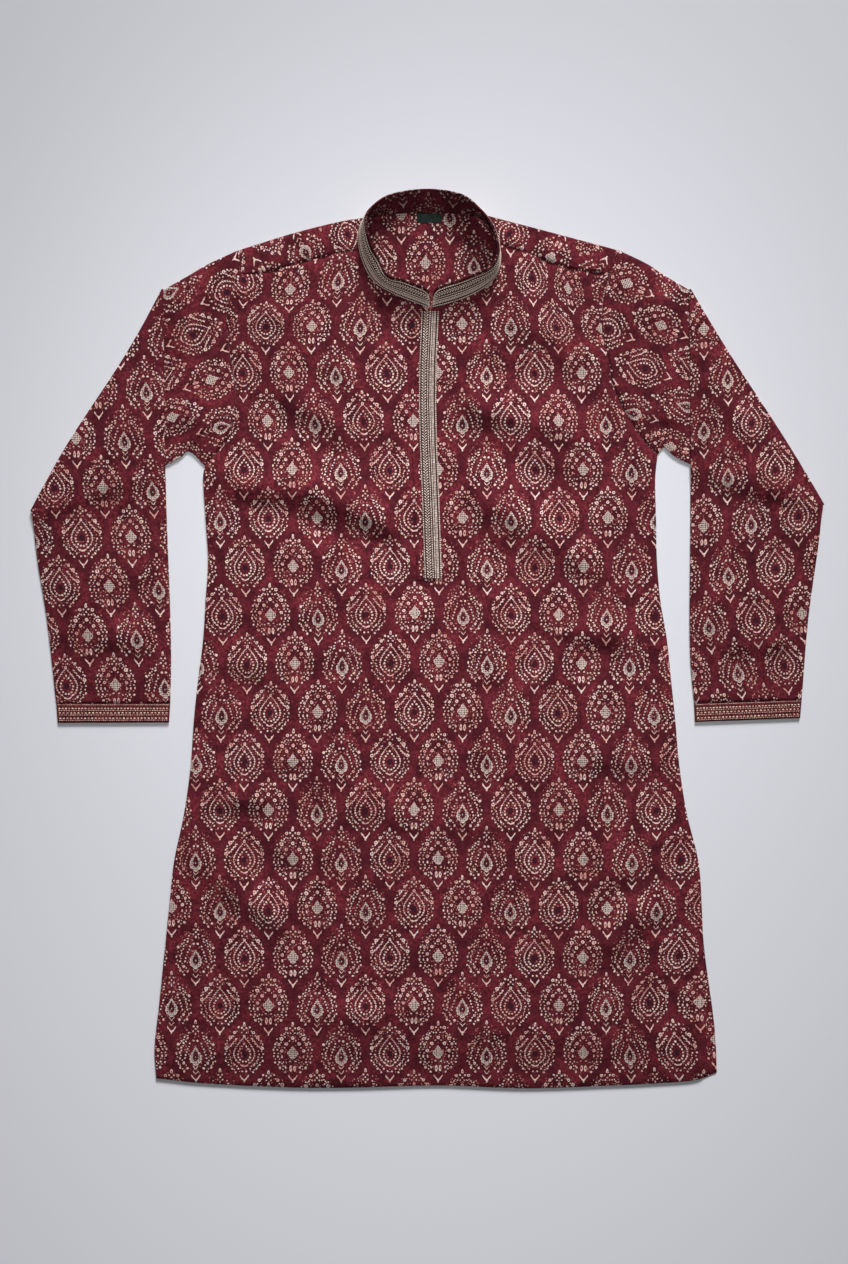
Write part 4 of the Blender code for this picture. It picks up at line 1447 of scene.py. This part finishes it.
def back_panel(finishes):
    """Back of the body, with a strip that comes over each shoulder to the seam on the front."""
    left, right = side_seam("left"), side_seam("right", BACK_SHOWS)
    left_arm, right_arm = armhole(LEFT_ARM, GAP)[1:], armhole(RIGHT_ARM, GAP)[1:]
    left_fold, right_fold = shoulder_fold(LEFT_SHOULDER), shoulder_fold(RIGHT_SHOULDER)
    lead = np.vstack([hem_curve(right[0]), right[1:], right_arm[::-1]])
    rest = [back_neck()[-2:0:-1], left_fold[::-1], left_arm, left[:0:-1]]
    outline = np.vstack([lead, right_fold, *rest])
    flat, faces = fill(outline, BACK_SPACING)
    points = [(*place, LOWER) for place in flat]
    cloth = list(back_cloth(flat))
    right_first = len(lead)
    left_first = right_first + len(right_fold) + BACK_NECK_STEPS - 1 + SHOULDER_STEPS
    area = outline_area(outline)
    for shoulder, fold, first, step in (
        (RIGHT_SHOULDER, right_fold, right_first, 1),
        (LEFT_SHOULDER, left_fold, left_first, -1),
    ):
        previous = [first + step * i for i in range(SHOULDER_STEPS + 1)]
        rows, unrolled = shoulder_strip(shoulder, fold)
        for row, place in zip(rows, unrolled):
            here = list(range(len(points), len(points) + len(row)))
            points.extend(row)
            cloth.extend(back_cloth(place))
            for i in range(SHOULDER_STEPS):
                quad = (previous[i], previous[i + 1], here[i + 1], here[i])
                faces.append(quad[::-step])
            previous = here
        area += outline_area(np.vstack([rows[TURN_STEPS - 1], rows[-1][::-1]]))
    cloth = corners(np.array(cloth), faces)
    piece = add_mesh("back_cloth", points, faces, cloth, finishes["printed"])
    thicken(piece, CLOTH, CLOTH_EDGE)
    claim(piece, ["back_panel"])


# Sleeves --------------------------------------------------------------------------------------

# The cuffs' cut is this much deeper than they lie
CUFF_ALLOWANCE = 1.04


def section_loop(row, inner):
    """One closed section of a flattened tube, upper side last.

    Gives places along the ruling, heights, and the cloth's place on the upper and lower sides."""
    radius = EDGE_ROUND - (CLOTH if inner else 0)
    start_in, end_in = unit(row[1] - row[0]), unit(row[-2] - row[-1])
    flat = row.copy()
    flat[0] += start_in * EDGE_ROUND
    flat[-1] += end_in * EDGE_ROUND
    turns = np.linspace(-math.pi / 2, math.pi / 2, TURN_STEPS + 1)[1:-1]
    cos, sin = np.cos(turns)[:, None], np.sin(turns)
    share = (np.abs(turns) / (math.pi / 2))[:, None]
    signed = (turns / (math.pi / 2))[:, None]
    places = np.vstack(
        [flat, flat[-1] - end_in * radius * cos, flat[::-1], (flat[0] - start_in * radius * cos)[::-1]]
    )
    heights = EDGE_ROUND + radius * np.concatenate(
        [np.full(len(flat), -1.0), sin, np.full(len(flat), 1.0), sin[::-1]]
    )
    past_end = row[-1] + end_in * EDGE_ROUND * share
    past_start = row[0] + (start_in * EDGE_ROUND * signed)[::-1]
    upper = np.vstack([flat, past_end, flat[::-1], past_start])
    lower = 2 * row[0] - upper
    lower[len(lower) - len(turns) :] = past_start
    return places, heights, upper, lower


class ArmShape:
    """Where the layers of a folded sleeve lie."""

    def __init__(self, arm):
        self.arm = arm
        top, bottom = np.array(arm.fold_top), np.array(arm.fold_bottom)
        along = unit(bottom - top)
        self.side = math.copysign(1, arm.fold_top.x)
        self.outward = np.array([-along[1], along[0]]) * self.side
        share = even(ARMHOLE_STEPS)[:, None]
        bow = FOLD_HEIGHT + arm.fold_bow * np.sin(2 * math.pi * share)
        self.fold = (1 - share) * top + share * bottom - self.outward * bow
        self.underarm = np.array(arm.underarm[-1])
        edge = unit(bottom - self.underarm)
        self.below = np.array([edge[1], -edge[0]]) * self.side
        top_edge = smooth_curve(arm.top_edge + [self.fold[0]], even(UPPER_ARM_STEPS))
        under = smooth_curve(arm.underarm + [self.fold[-1]], even(UPPER_ARM_STEPS))
        self.upper_arm = patch(armhole(arm, 0.0), self.fold, top_edge, under, even(UPPER_ARM_STEPS))
        inner = smooth_curve([self.fold[0]] + arm.inner, even(FOREARM_STEPS))
        outer = smooth_curve([self.fold[-1]] + arm.outer, even(FOREARM_STEPS))
        cuff = np.linspace(inner[-1], outer[-1], ARMHOLE_STEPS + 1)
        self.forearm = patch(self.fold, cuff, inner, outer, even(FOREARM_STEPS))
        shown = inner[inner[:, 1] > self.underarm[1]]
        tip = int(np.argmin(np.abs(under[:, 0] - self.underarm[0])))
        to_armpit = under[1:tip][::-1]
        self.upper_shown = np.vstack([armhole(arm, 0.0)[::-1], top_edge[1:], shown[1:], to_armpit])
        self.fore_shown = np.vstack([self.fold, outer[1:], cuff[::-1][1:], inner[::-1][1:-1]])

    def puff(self, places, outline):
        """How far the layer that shows stands off its flat place."""
        x, y = places[:, 0], places[:, 1]
        from_edge = edge_distance(places, outline) * inside(places, outline)
        ripple = SLEEVE_RIPPLE._replace(seed=SLEEVE_RIPPLE.seed * self.side)
        height = SLEEVE_LOFT + folds(self.arm.creases, x, y) + rippled(x, y, ripple)
        from_cuff = edge_distance(places, np.array(self.arm.cuff_top))
        height = soft_floor(height) * ease(from_edge / SLEEVE_MARGIN) * ease(from_cuff / CUFF_MARGIN)
        return height + rolled(x, y, from_edge, SLEEVE_ROLL)

    def drop(self, places):
        """How far forearm points have come down, past the underarm edge that they lie on."""
        past = (places - self.underarm) @ self.below
        return (PAIR + GAP) * ease((past - SETTLE_FROM) / SETTLE_OVER)

    def on_surface(self, places, heights):
        """Points of the upper arm."""
        risen = heights + self.puff(places, self.upper_shown) * (heights > EDGE_ROUND)
        return np.column_stack([places, risen])

    def round_fold(self, places, heights, turn):
        """Points of the fold that have turned this far over."""
        reach = (FOLD_HEIGHT - heights)[:, None]
        moved = places + self.outward * reach * math.sin(turn)
        return np.column_stack([moved, FOLD_HEIGHT - reach * math.cos(turn)])

    def on_top(self, places, heights):
        """Points of the forearm."""
        lifted = self.puff(places, self.fore_shown) * (heights < EDGE_ROUND)
        return np.column_stack([places, 2 * FOLD_HEIGHT - heights - self.drop(places) + lifted])


# A section's row, how its points are placed, how far the cloth runs past the row, the chart of
# its print, and whether its upper layer is the one that shows
Section = namedtuple("Section", "row placed past chart upper_shows")


def ring_quads(here, there):
    """Faces between two rings of points."""
    count = len(here)
    return [(here[i], here[(i + 1) % count], there[(i + 1) % count], there[i]) for i in range(count)]


def tube(name, sections, finish):
    """Closed wall of a flattened tube."""
    points, rings, flat_upper, flat_lower = [], [], [], []
    for section in sections:
        for inner in (False, True):
            places, heights, upper, lower = section_loop(section.row, inner)
            loop = section.placed(places, heights)
            rings.append(range(len(points), len(points) + len(loop)))
            points.extend(loop)
            flat_upper.extend(upper + section.past)
            flat_lower.extend(lower + section.past)
    flat_upper, flat_lower = np.array(flat_upper), np.array(flat_lower)
    width = len(sections[0].row)
    end_turn = width + (TURN_STEPS - 1) // 2
    start_turn = end_turn + width + TURN_STEPS - 1
    faces, cloth = [], []

    def add_ring(here, there, section):
        for i, quad in enumerate(ring_quads(here, there)):
            on_upper = end_turn <= i < start_turn
            flat = flat_upper if on_upper == section.upper_shows else flat_lower
            faces.append(quad)
            cloth.extend(sleeve_cloth(flat[list(quad)], section.chart))

    walls = [rings[0::2], rings[1::2]]
    for wall in walls:
        for here, there, section in zip(wall, wall[1:], sections[1:]):
            add_ring(here, there, section)
    add_ring(walls[0][0], walls[1][0], sections[0])
    add_ring(walls[0][-1], walls[1][-1], sections[-1])
    made = add_mesh(name, points, faces, cloth, finish)
    face_out(made.data)
    return made


def face_out(mesh):
    """Turns all the faces of a closed mesh outwards."""
    shape = bmesh.new()
    shape.from_mesh(mesh)
    bmesh.ops.recalc_face_normals(shape, faces=shape.faces[:])
    if shape.calc_volume(signed=True) < 0:
        bmesh.ops.reverse_faces(shape, faces=shape.faces[:])
    shape.to_mesh(mesh)
    shape.free()


def row_area(rows):
    """Area of a patch of rows, in square metres."""
    outline = np.vstack([rows[0], rows[1:-1, -1], rows[-1][::-1], rows[1:-1, 0][::-1]])
    return outline_area(outline)


def sleeve(side, shape, finishes):
    """One sleeve: the upper arm on the surface, the turn at its fold, and the forearm on top."""
    arm = shape.arm
    still = np.zeros(2)
    sections = []
    for row in shape.upper_arm:
        sections.append(Section(row, shape.on_surface, still, arm.upper_print, True))
    for step in range(1, TURN_STEPS):
        turn = math.pi * step / TURN_STEPS
        past = shape.outward * EDGE_ROUND * min(turn, math.pi - turn)

        def placed(places, heights, turn=turn):
            return shape.round_fold(places, heights, turn)

        first_half = step <= TURN_STEPS // 2
        chart = arm.upper_print if first_half else arm.fore_print
        sections.append(Section(shape.fold, placed, past, chart, first_half))
    for row in shape.forearm:
        sections.append(Section(row, shape.on_top, still, arm.fore_print, False))
    piece = tube("sleeve_%s_cloth" % side, sections, finishes["printed"])
    claim(piece, ["sleeve_%s" % side])


def cuff(side, shape, finishes):
    """Bordered end of a sleeve, a flattened tube that goes on from its forearm."""
    arm = shape.arm
    start = np.linspace(arm.cuff_top[0], arm.cuff_top[1], ARMHOLE_STEPS + 1)
    end = np.linspace(arm.cuff_end[0], arm.cuff_end[1], ARMHOLE_STEPS + 1)
    steps = even(CUFF_STEPS)[:, None, None]
    rows = (1 - steps) * start + steps * end
    still = np.zeros(2)

    def placed(places, heights):
        return np.column_stack([places, 2 * FOLD_HEIGHT - heights - shape.drop(places)])

    sections = [Section(row, placed, still, arm.fore_print, False) for row in rows]
    piece = tube("cuff_%s_cloth" % side, sections, finishes["cuff"])
    claim(piece, ["cuff_%s" % side])
    area = 2 * row_area(rows)
    wide = 2 * np.linalg.norm(rows[0][-1] - rows[0][0]) * MM
    deep = CUFF_ALLOWANCE * area / wide


# Collar, placket and label --------------------------------------------------------------------


def collar_grid():
    """Middle surface of the collar: its foot, the rows under the braid, and its top edge."""
    at = np.linspace(0, LAST_NECK, BAND_STEPS + 1)
    places = neck_row(at)
    seam, lean = places[:, :2], places[:, 2:]
    walked = walked_along(seam)
    from_end = np.minimum(walked, walked[-1] - walked)
    short = np.maximum(BAND_CORNER - from_end, 0)
    top = BAND_HEIGHT - BAND_CORNER + np.sqrt(BAND_CORNER**2 - short**2)
    tilt = np.linalg.norm(lean, axis=1)
    on_back = ease(at - LEFT_SHOULDER.fold_at) * ease(RIGHT_SHOULDER.fold_at - at)
    base = PAIR + GAP - (CLOTH + GAP) * on_back + BAND_THICK / 2 * tilt / BAND_HEIGHT
    rise = np.sqrt(BAND_HEIGHT**2 - tilt**2)
    heights = [np.zeros_like(top)]
    heights += [TRIM_FOOT + (top - TRIM_RIM - TRIM_FOOT) * share for share in even(BRAID_ROWS)]
    heights.append(top - TRIM_RIM / 2)
    heights.append(top)
    grid = []
    for height in heights:
        reach = height / BAND_HEIGHT
        grid.append(np.column_stack([seam + lean * reach[:, None], base + rise * reach]))
    return np.array(grid), walked, np.array(heights)


def outward_of(band):
    """Directions that point away from the neck, for each point of the collar."""
    up, along = np.gradient(band, axis=0), np.gradient(band, axis=1)
    outward = unit(np.cross(along, up))
    if outward[0, BAND_STEPS // 4, 0] > 0:
        outward = -outward
    return outward


def grid_sheet(name, grid, cloth, thick, finish, rounding):
    """Sheet over a grid of points, with its wall."""
    rows, columns = grid.shape[:2]
    faces = grid_faces(rows, columns)
    piece = add_mesh(name, grid.reshape(-1, 3), faces, corners(cloth.reshape(-1, 2), faces), finish)
    return thicken(piece, thick, rounding)


def collar(finishes):
    """Standing collar round the neck, with the braid on its outside."""
    band, walked, heights = collar_grid()
    along, up = COLLAR_PRINT
    cloth = np.stack([np.broadcast_to(walked, heights.shape) + along, heights + up], axis=-1)
    piece = grid_sheet("collar_cloth", band, cloth, BAND_THICK, finishes["collar"], BAND_EDGE)
    claim(piece, ["collar_band"])
    outward = outward_of(band)
    braid = band[1:-2] + outward[1:-2] * (BAND_THICK / 2 + GAP + TRIM_THICK / 2)
    # The collar's braid ground and thread are lighter copies of the placket's: painted light on its
    # front
    finish = finishes["collar_braid"]
    strip = grid_sheet("collar_braid", braid, cloth[1:-2], TRIM_THICK, finish, TRIM_EDGE)
    claim(strip, ["collar_trim"])
    sewn = braid_stitches(braid, outward[1:-2], from_top=True)
    sew("collar_stitches", sewn, finishes["collar_thread"])


# The braid across its 21 mm, from its outer edge: millimetres from it, and how it is worked
BRAID_WIDE = 21.0
BraidRow = namedtuple("BraidRow", "at kind wide pitch")
BRAID_ROWS_SEWN = [
    BraidRow(0.9, "line", 1.5, 2.3),
    BraidRow(5.9, "leaves", 6.4, 3.3),
    BraidRow(10.5, "line", 1.6, 2.3),
    BraidRow(13.3, "dense", 1.8, 1.9),
    BraidRow(15.5, "dense", 1.5, 1.9),
    BraidRow(17.0, "dense", 1.5, 1.9),
    BraidRow(20.1, "line", 1.8, 2.3),
]
# Sizes of the stitches, along, across and up, and how far the leaves are from their middle line
LEAF, BEAD = (3.3, 1.5, 0.9), (1.4, 1.5, 0.9)
LEAVES_APART = 1.7
LINE_SHARE, STITCH_HIGH = 0.86, 0.8
Stitch = namedtuple("Stitch", "place along up size")


def stitch_run(line, ups, across, pitch, size, offset=0.0, lift=0.0):
    """Stitches end to end along a line, moved sideways and up, and the way across at each."""
    walked = walked_along(line)
    count = max(2, int(walked[-1] / pitch))
    wanted = (np.arange(count) + 0.5) / count * walked[-1]

    def at(table, where):
        return np.column_stack([np.interp(where, walked, table[:, i]) for i in range(3)])

    middle, up, aside = at(line, wanted), unit(at(ups, wanted)), unit(at(across, wanted))
    before, after = np.maximum(wanted - 0.5, 0), np.minimum(wanted + 0.5, walked[-1])
    along = unit(at(line, after) - at(line, before))
    place = middle + aside * offset + up * lift
    return [Stitch(p, a, u, size) for p, a, u in zip(place, along, up)], aside


def strip_line(strip, outward, share):
    """Line along a strip at this share of the way across, and its directions out and across."""
    place = share * (len(strip) - 1)
    low = min(int(place), len(strip) - 2)
    t = place - low
    line = strip[low] * (1 - t) + strip[low + 1] * t
    ups = unit(outward[low] * (1 - t) + outward[low + 1] * t)
    return line, ups, unit(strip[low + 1] - strip[low])


def leaves(line, pitch, lift):
    """Pairs of stitches that lean apart, with a bead between one pair and the next."""
    stitches = []
    for side in (-1, 1):
        run, aside = stitch_run(*line, pitch, LEAF, side * LEAVES_APART, lift)
        for stitch, away in zip(run, aside):
            stitches.append(stitch._replace(along=unit(stitch.along + away * side)))
    run, _ = stitch_run(*line, pitch, BEAD, lift=lift)
    return stitches + [bead._replace(place=bead.place + bead.along * pitch / 2) for bead in run]


def braid_stitches(strip, outward, from_top):
    """Raised sewing of the braid over a grid strip whose rows run along it."""
    stitches = []
    for sewn in BRAID_ROWS_SEWN:
        share = sewn.at / BRAID_WIDE
        line = strip_line(strip, outward, 1 - share if from_top else share)
        if sewn.kind == "leaves":
            stitches += leaves(line, sewn.pitch, TRIM_THICK / 2)
        else:
            long = sewn.pitch * (LINE_SHARE if sewn.kind == "line" else 1)
            size = (long, sewn.wide, STITCH_HIGH)
            stitches += stitch_run(*line, sewn.pitch, size, lift=TRIM_THICK / 2)[0]
    return stitches


def placket_grid(left, right, start, end, height):
    """Strip along the centre line of the placket, at this middle height, from its end up."""
    y = np.linspace(end, start, PLACKET_STEPS + 1)
    across = np.linspace(-left, right, PLACKET_ACROSS + 1)
    x = placket_place(y)[:, None] + across[None]
    return np.stack([x, np.repeat(y[:, None], len(across), 1), np.full_like(x, height)], axis=-1)


def placket(finishes):
    """Band down the front from the neck, with the braid on it."""
    height = UPPER + CLOTH + GAP
    grid = placket_grid(PLACKET_LEFT, PLACKET_RIGHT, PLACKET_START, PLACKET_END, height)
    cloth = front_cloth(grid[..., :2])
    piece = grid_sheet("placket_cloth", grid, cloth, CLOTH, finishes["printed"], CLOTH_EDGE)
    claim(piece, ["placket_band"])
    half = PLACKET_TRIM_HALF
    height += CLOTH / 2 + GAP + TRIM_THICK / 2
    grid = placket_grid(half, half, PLACKET_TRIM_START, PLACKET_TRIM_END, height)
    cloth = front_cloth(grid[..., :2])
    strip = grid_sheet("placket_braid", grid, cloth, TRIM_THICK, finishes["braid"], TRIM_EDGE)
    claim(strip, ["placket_trim"])
    turned = grid.transpose(1, 0, 2)
    sewn = braid_stitches(turned, np.zeros_like(turned) + UP, from_top=False)
    sew("placket_stitches", sewn, finishes["braid_thread"])


def neck_label(finishes):
    """Small label with rounded corners, inside the back of the neck."""
    wide, tall = LABEL_SIZE[0] / 2, LABEL_SIZE[1] / 2
    middle = CLOTH + GAP + LABEL_THICK / 2
    rise = even(LABEL_ROWS)
    below = np.maximum(1 - rise * 2 * tall / LABEL_CORNER, 0)
    half = wide - LABEL_CORNER * (1 - np.sqrt(1 - below**2))
    x = LABEL_CENTRE[0] + half[:, None] * (even(LABEL_ROWS) * 2 - 1)
    y = LABEL_CENTRE[1] + (rise[:, None] * 2 - 1) * tall + 0 * x
    grid = np.stack([x, y, np.full_like(x, middle)], axis=-1)
    piece = grid_sheet("label_cloth", grid, grid[..., :2], LABEL_THICK, finishes["label"], TRIM_EDGE)
    claim(piece, ["neck_label"])


# Sewing ---------------------------------------------------------------------------------------


def stored_vector(tree, name):
    """A stored value of each point."""
    node = tree.nodes.new("GeometryNodeInputNamedAttribute")
    node.data_type = "FLOAT_VECTOR"
    node.inputs["Name"].default_value = name
    return node.outputs["Attribute"]


def stitch_tree():
    """Geometry nodes: one small rounded stitch on each point, laid along it."""
    tree = bpy.data.node_groups.new("stitches", "GeometryNodeTree")
    tree.interface.new_socket("Points", in_out="INPUT", socket_type="NodeSocketGeometry")
    tree.interface.new_socket("Thread", in_out="INPUT", socket_type="NodeSocketMaterial")
    tree.interface.new_socket("Stitches", in_out="OUTPUT", socket_type="NodeSocketGeometry")
    given, result = tree.nodes.new("NodeGroupInput"), tree.nodes.new("NodeGroupOutput")
    ball = node_with(tree, "GeometryNodeMeshUVSphere", Segments=6, Rings=4, Radius=0.5)
    smooth = node_with(tree, "GeometryNodeSetShadeSmooth", Geometry=ball)
    turned = None
    for axis, name in (("X", "along"), ("Z", "up")):
        turn = tree.nodes.new("FunctionNodeAlignRotationToVector")
        turn.axis = axis
        feed(tree, turn.inputs["Vector"], stored_vector(tree, name))
        if turned:
            turn.pivot_axis = "X"
            feed(tree, turn.inputs["Rotation"], turned)
        turned = turn.outputs["Rotation"]
    copies = node_with(
        tree,
        "GeometryNodeInstanceOnPoints",
        Points=given.outputs["Points"],
        Instance=smooth,
        Rotation=turned,
        Scale=stored_vector(tree, "size"),
    )
    real = node_with(tree, "GeometryNodeRealizeInstances", Geometry=copies)
    thread = given.outputs["Thread"]
    painted = node_with(tree, "GeometryNodeSetMaterial", Geometry=real, Material=thread)
    feed(tree, result.inputs["Stitches"], painted)
    return tree


def sew(name, stitches, thread):
    """One piece of all these stitches."""
    guide = bpy.data.meshes.new(name + "_points")
    guide.from_pydata([tuple(np.asarray(s.place) * MM) for s in stitches], [], [])
    for field, scale in (("along", 1.0), ("up", 1.0), ("size", MM)):
        values = np.array([getattr(s, field) for s in stitches], float) * scale
        stored = guide.attributes.new(field, "FLOAT_VECTOR", "POINT")
        stored.data.foreach_set("vector", values.ravel())
    holder = add_object(name + "_guide", guide)
    nodes = holder.modifiers.new("stitches", "NODES")
    nodes.node_group = bpy.data.node_groups.get("stitches") or stitch_tree()
    for item in nodes.node_group.interface.items_tree:
        if item.item_type == "SOCKET" and item.in_out == "INPUT" and item.name == "Thread":
            nodes[item.identifier] = thread
    graph = bpy.context.evaluated_depsgraph_get()
    mesh = bpy.data.meshes.new_from_object(holder.evaluated_get(graph), depsgraph=graph)
    mesh.name = name
    bpy.data.objects.remove(holder)
    claim(add_object(name, mesh), [])


# Lines of sewing round the cuff: millimetres from its seam, how wide, and how far apart
SewnLine = namedtuple("SewnLine", "at wide pitch")
CUFF_LINES = [
    SewnLine(0.9, 0.9, 2.2),
    SewnLine(5.2, 1.9, 3.9),
    SewnLine(7.5, 1.1, 2.9),
    SewnLine(10.6, 2.1, 4.4),
    SewnLine(12.9, 1.1, 2.7),
    SewnLine(17.0, 2.2, 4.2),
    SewnLine(19.2, 1.0, 2.6),
]
CUFF_LINE_STEPS = 11
CUFF_LINE_INSET = 1.5
CUFF_STITCH_SHARE, CUFF_STITCH_LONGEST, CUFF_STITCH_HIGH = 0.85, 3.0, 0.7


def cuff_stitches(side, shape, finishes):
    """Lines of sewing on the side of the cuff that shows."""
    start, end = np.array(shape.arm.cuff_top), np.array(shape.arm.cuff_end)
    long = np.linalg.norm(end[0] - start[0])
    ups = np.tile(UP, (CUFF_LINE_STEPS + 1, 1))
    down_arm = np.tile([0.0, -1.0, 0.0], (CUFF_LINE_STEPS + 1, 1))
    stitches = []
    for sewn in CUFF_LINES:
        share = sewn.at / long
        inner, outer = start * (1 - share) + end * share
        inset = unit(outer - inner) * CUFF_LINE_INSET
        flat = np.linspace(inner + inset, outer - inset, CUFF_LINE_STEPS + 1)
        line = np.column_stack([flat, 2 * FOLD_HEIGHT - shape.drop(flat)])
        stitch_long = min(sewn.pitch * CUFF_STITCH_SHARE, CUFF_STITCH_LONGEST)
        size = (stitch_long, sewn.wide, CUFF_STITCH_HIGH)
        stitches += stitch_run(line, ups, down_arm, sewn.pitch, size)[0]
    sew("cuff_%s_stitches" % side, stitches, finishes["cuff_thread"])


# Stage ----------------------------------------------------------------------------------------

# The view is this many charting units tall
VIEW_UNITS = 1264
VIEW_TALL = VIEW_UNITS * UNIT * MM
VIEW_MIDDLE = (-4.2 * MM, 7.2 * MM)
CAMERA_HEIGHT = 2.6
SENSOR = 36
CLIP_END = 20

FLOOR_TINT = (0.82, 0.825, 0.883, 1)
FLOOR_ROUGHNESS = 0.9
FLOOR_REACH = 4.0
FLOOR_HEIGHT = -0.0003

# Light from all round, and spots: where, towards where, cone, softness and power
SKY_STRENGTH = 0.116
Spot = namedtuple("Spot", "name place aim degrees softness power")
SPOTS = [
    Spot("window", (1.3, 7.0, 3.4), (0, -0.3, 0), 26, 1.4, 4800),
    Spot("pool", (0.0, 0, 2.6), (0.0, 0, 0), 44, 0.35, 35),
    Spot("chest_pool", (-0.01, 0.22, 2.6), (-0.01, 0.22, 0), 17.5, 0.35, 100),
]


def add_floor():
    """Plain pale floor under the tunic."""
    made, _, shader = new_material("floor_plain")
    shader.inputs["Base Color"].default_value = FLOOR_TINT
    matte(shader, FLOOR_ROUGHNESS)
    mesh = bpy.data.meshes.new("floor")
    ends = [(-1, -1), (1, -1), (1, 1), (-1, 1)]
    points = [(x * FLOOR_REACH, y * FLOOR_REACH, FLOOR_HEIGHT) for x, y in ends]
    mesh.from_pydata(points, [], [(0, 1, 2, 3)])
    mesh.materials.append(made)
    add_object("floor", mesh)


def add_spot(spot):
    """Soft round light that fades out towards the rim of its cone."""
    lamp = bpy.data.lights.new(spot.name, "SPOT")
    lamp.energy = spot.power
    lamp.spot_size = math.radians(spot.degrees)
    lamp.spot_blend = 1.0
    lamp.shadow_soft_size = spot.softness
    made = add_object(spot.name, lamp)
    made.location = spot.place
    made.rotation_mode = "QUATERNION"
    made.rotation_quaternion = (Vector(spot.place) - Vector(spot.aim)).to_track_quat("Z", "Y")


def add_camera():
    """Camera straight above."""
    lens = bpy.data.cameras.new("camera")
    lens.sensor_width = SENSOR
    lens.lens = SENSOR * CAMERA_HEIGHT / VIEW_TALL
    lens.clip_end = CLIP_END
    camera = add_object("camera", lens)
    camera.location = (*VIEW_MIDDLE, CAMERA_HEIGHT)
    bpy.context.scene.camera = camera


def add_stage():
    """Floor, light and camera."""
    scene = bpy.context.scene
    scene.view_settings.view_transform = "Standard"
    add_floor()
    world = bpy.data.worlds.new("studio")
    world.use_nodes = True
    sky = world.node_tree.nodes["Background"]
    sky.inputs["Color"].default_value = (1.0, 1.0, 1.0, 1)
    sky.inputs["Strength"].default_value = SKY_STRENGTH
    scene.world = world
    for spot in SPOTS:
        add_spot(spot)
    add_camera()


def main():
    """The whole tunic on its stage."""
    add_stage()
    finishes = make_finishes()
    back_panel(finishes)
    front_panel(finishes)
    shapes = {"left": ArmShape(LEFT_ARM), "right": ArmShape(RIGHT_ARM)}
    for make in (sleeve, cuff, cuff_stitches):
        for side, shape in shapes.items():
            make(side, shape, finishes)
    collar(finishes)
    placket(finishes)
    neck_label(finishes)


main()
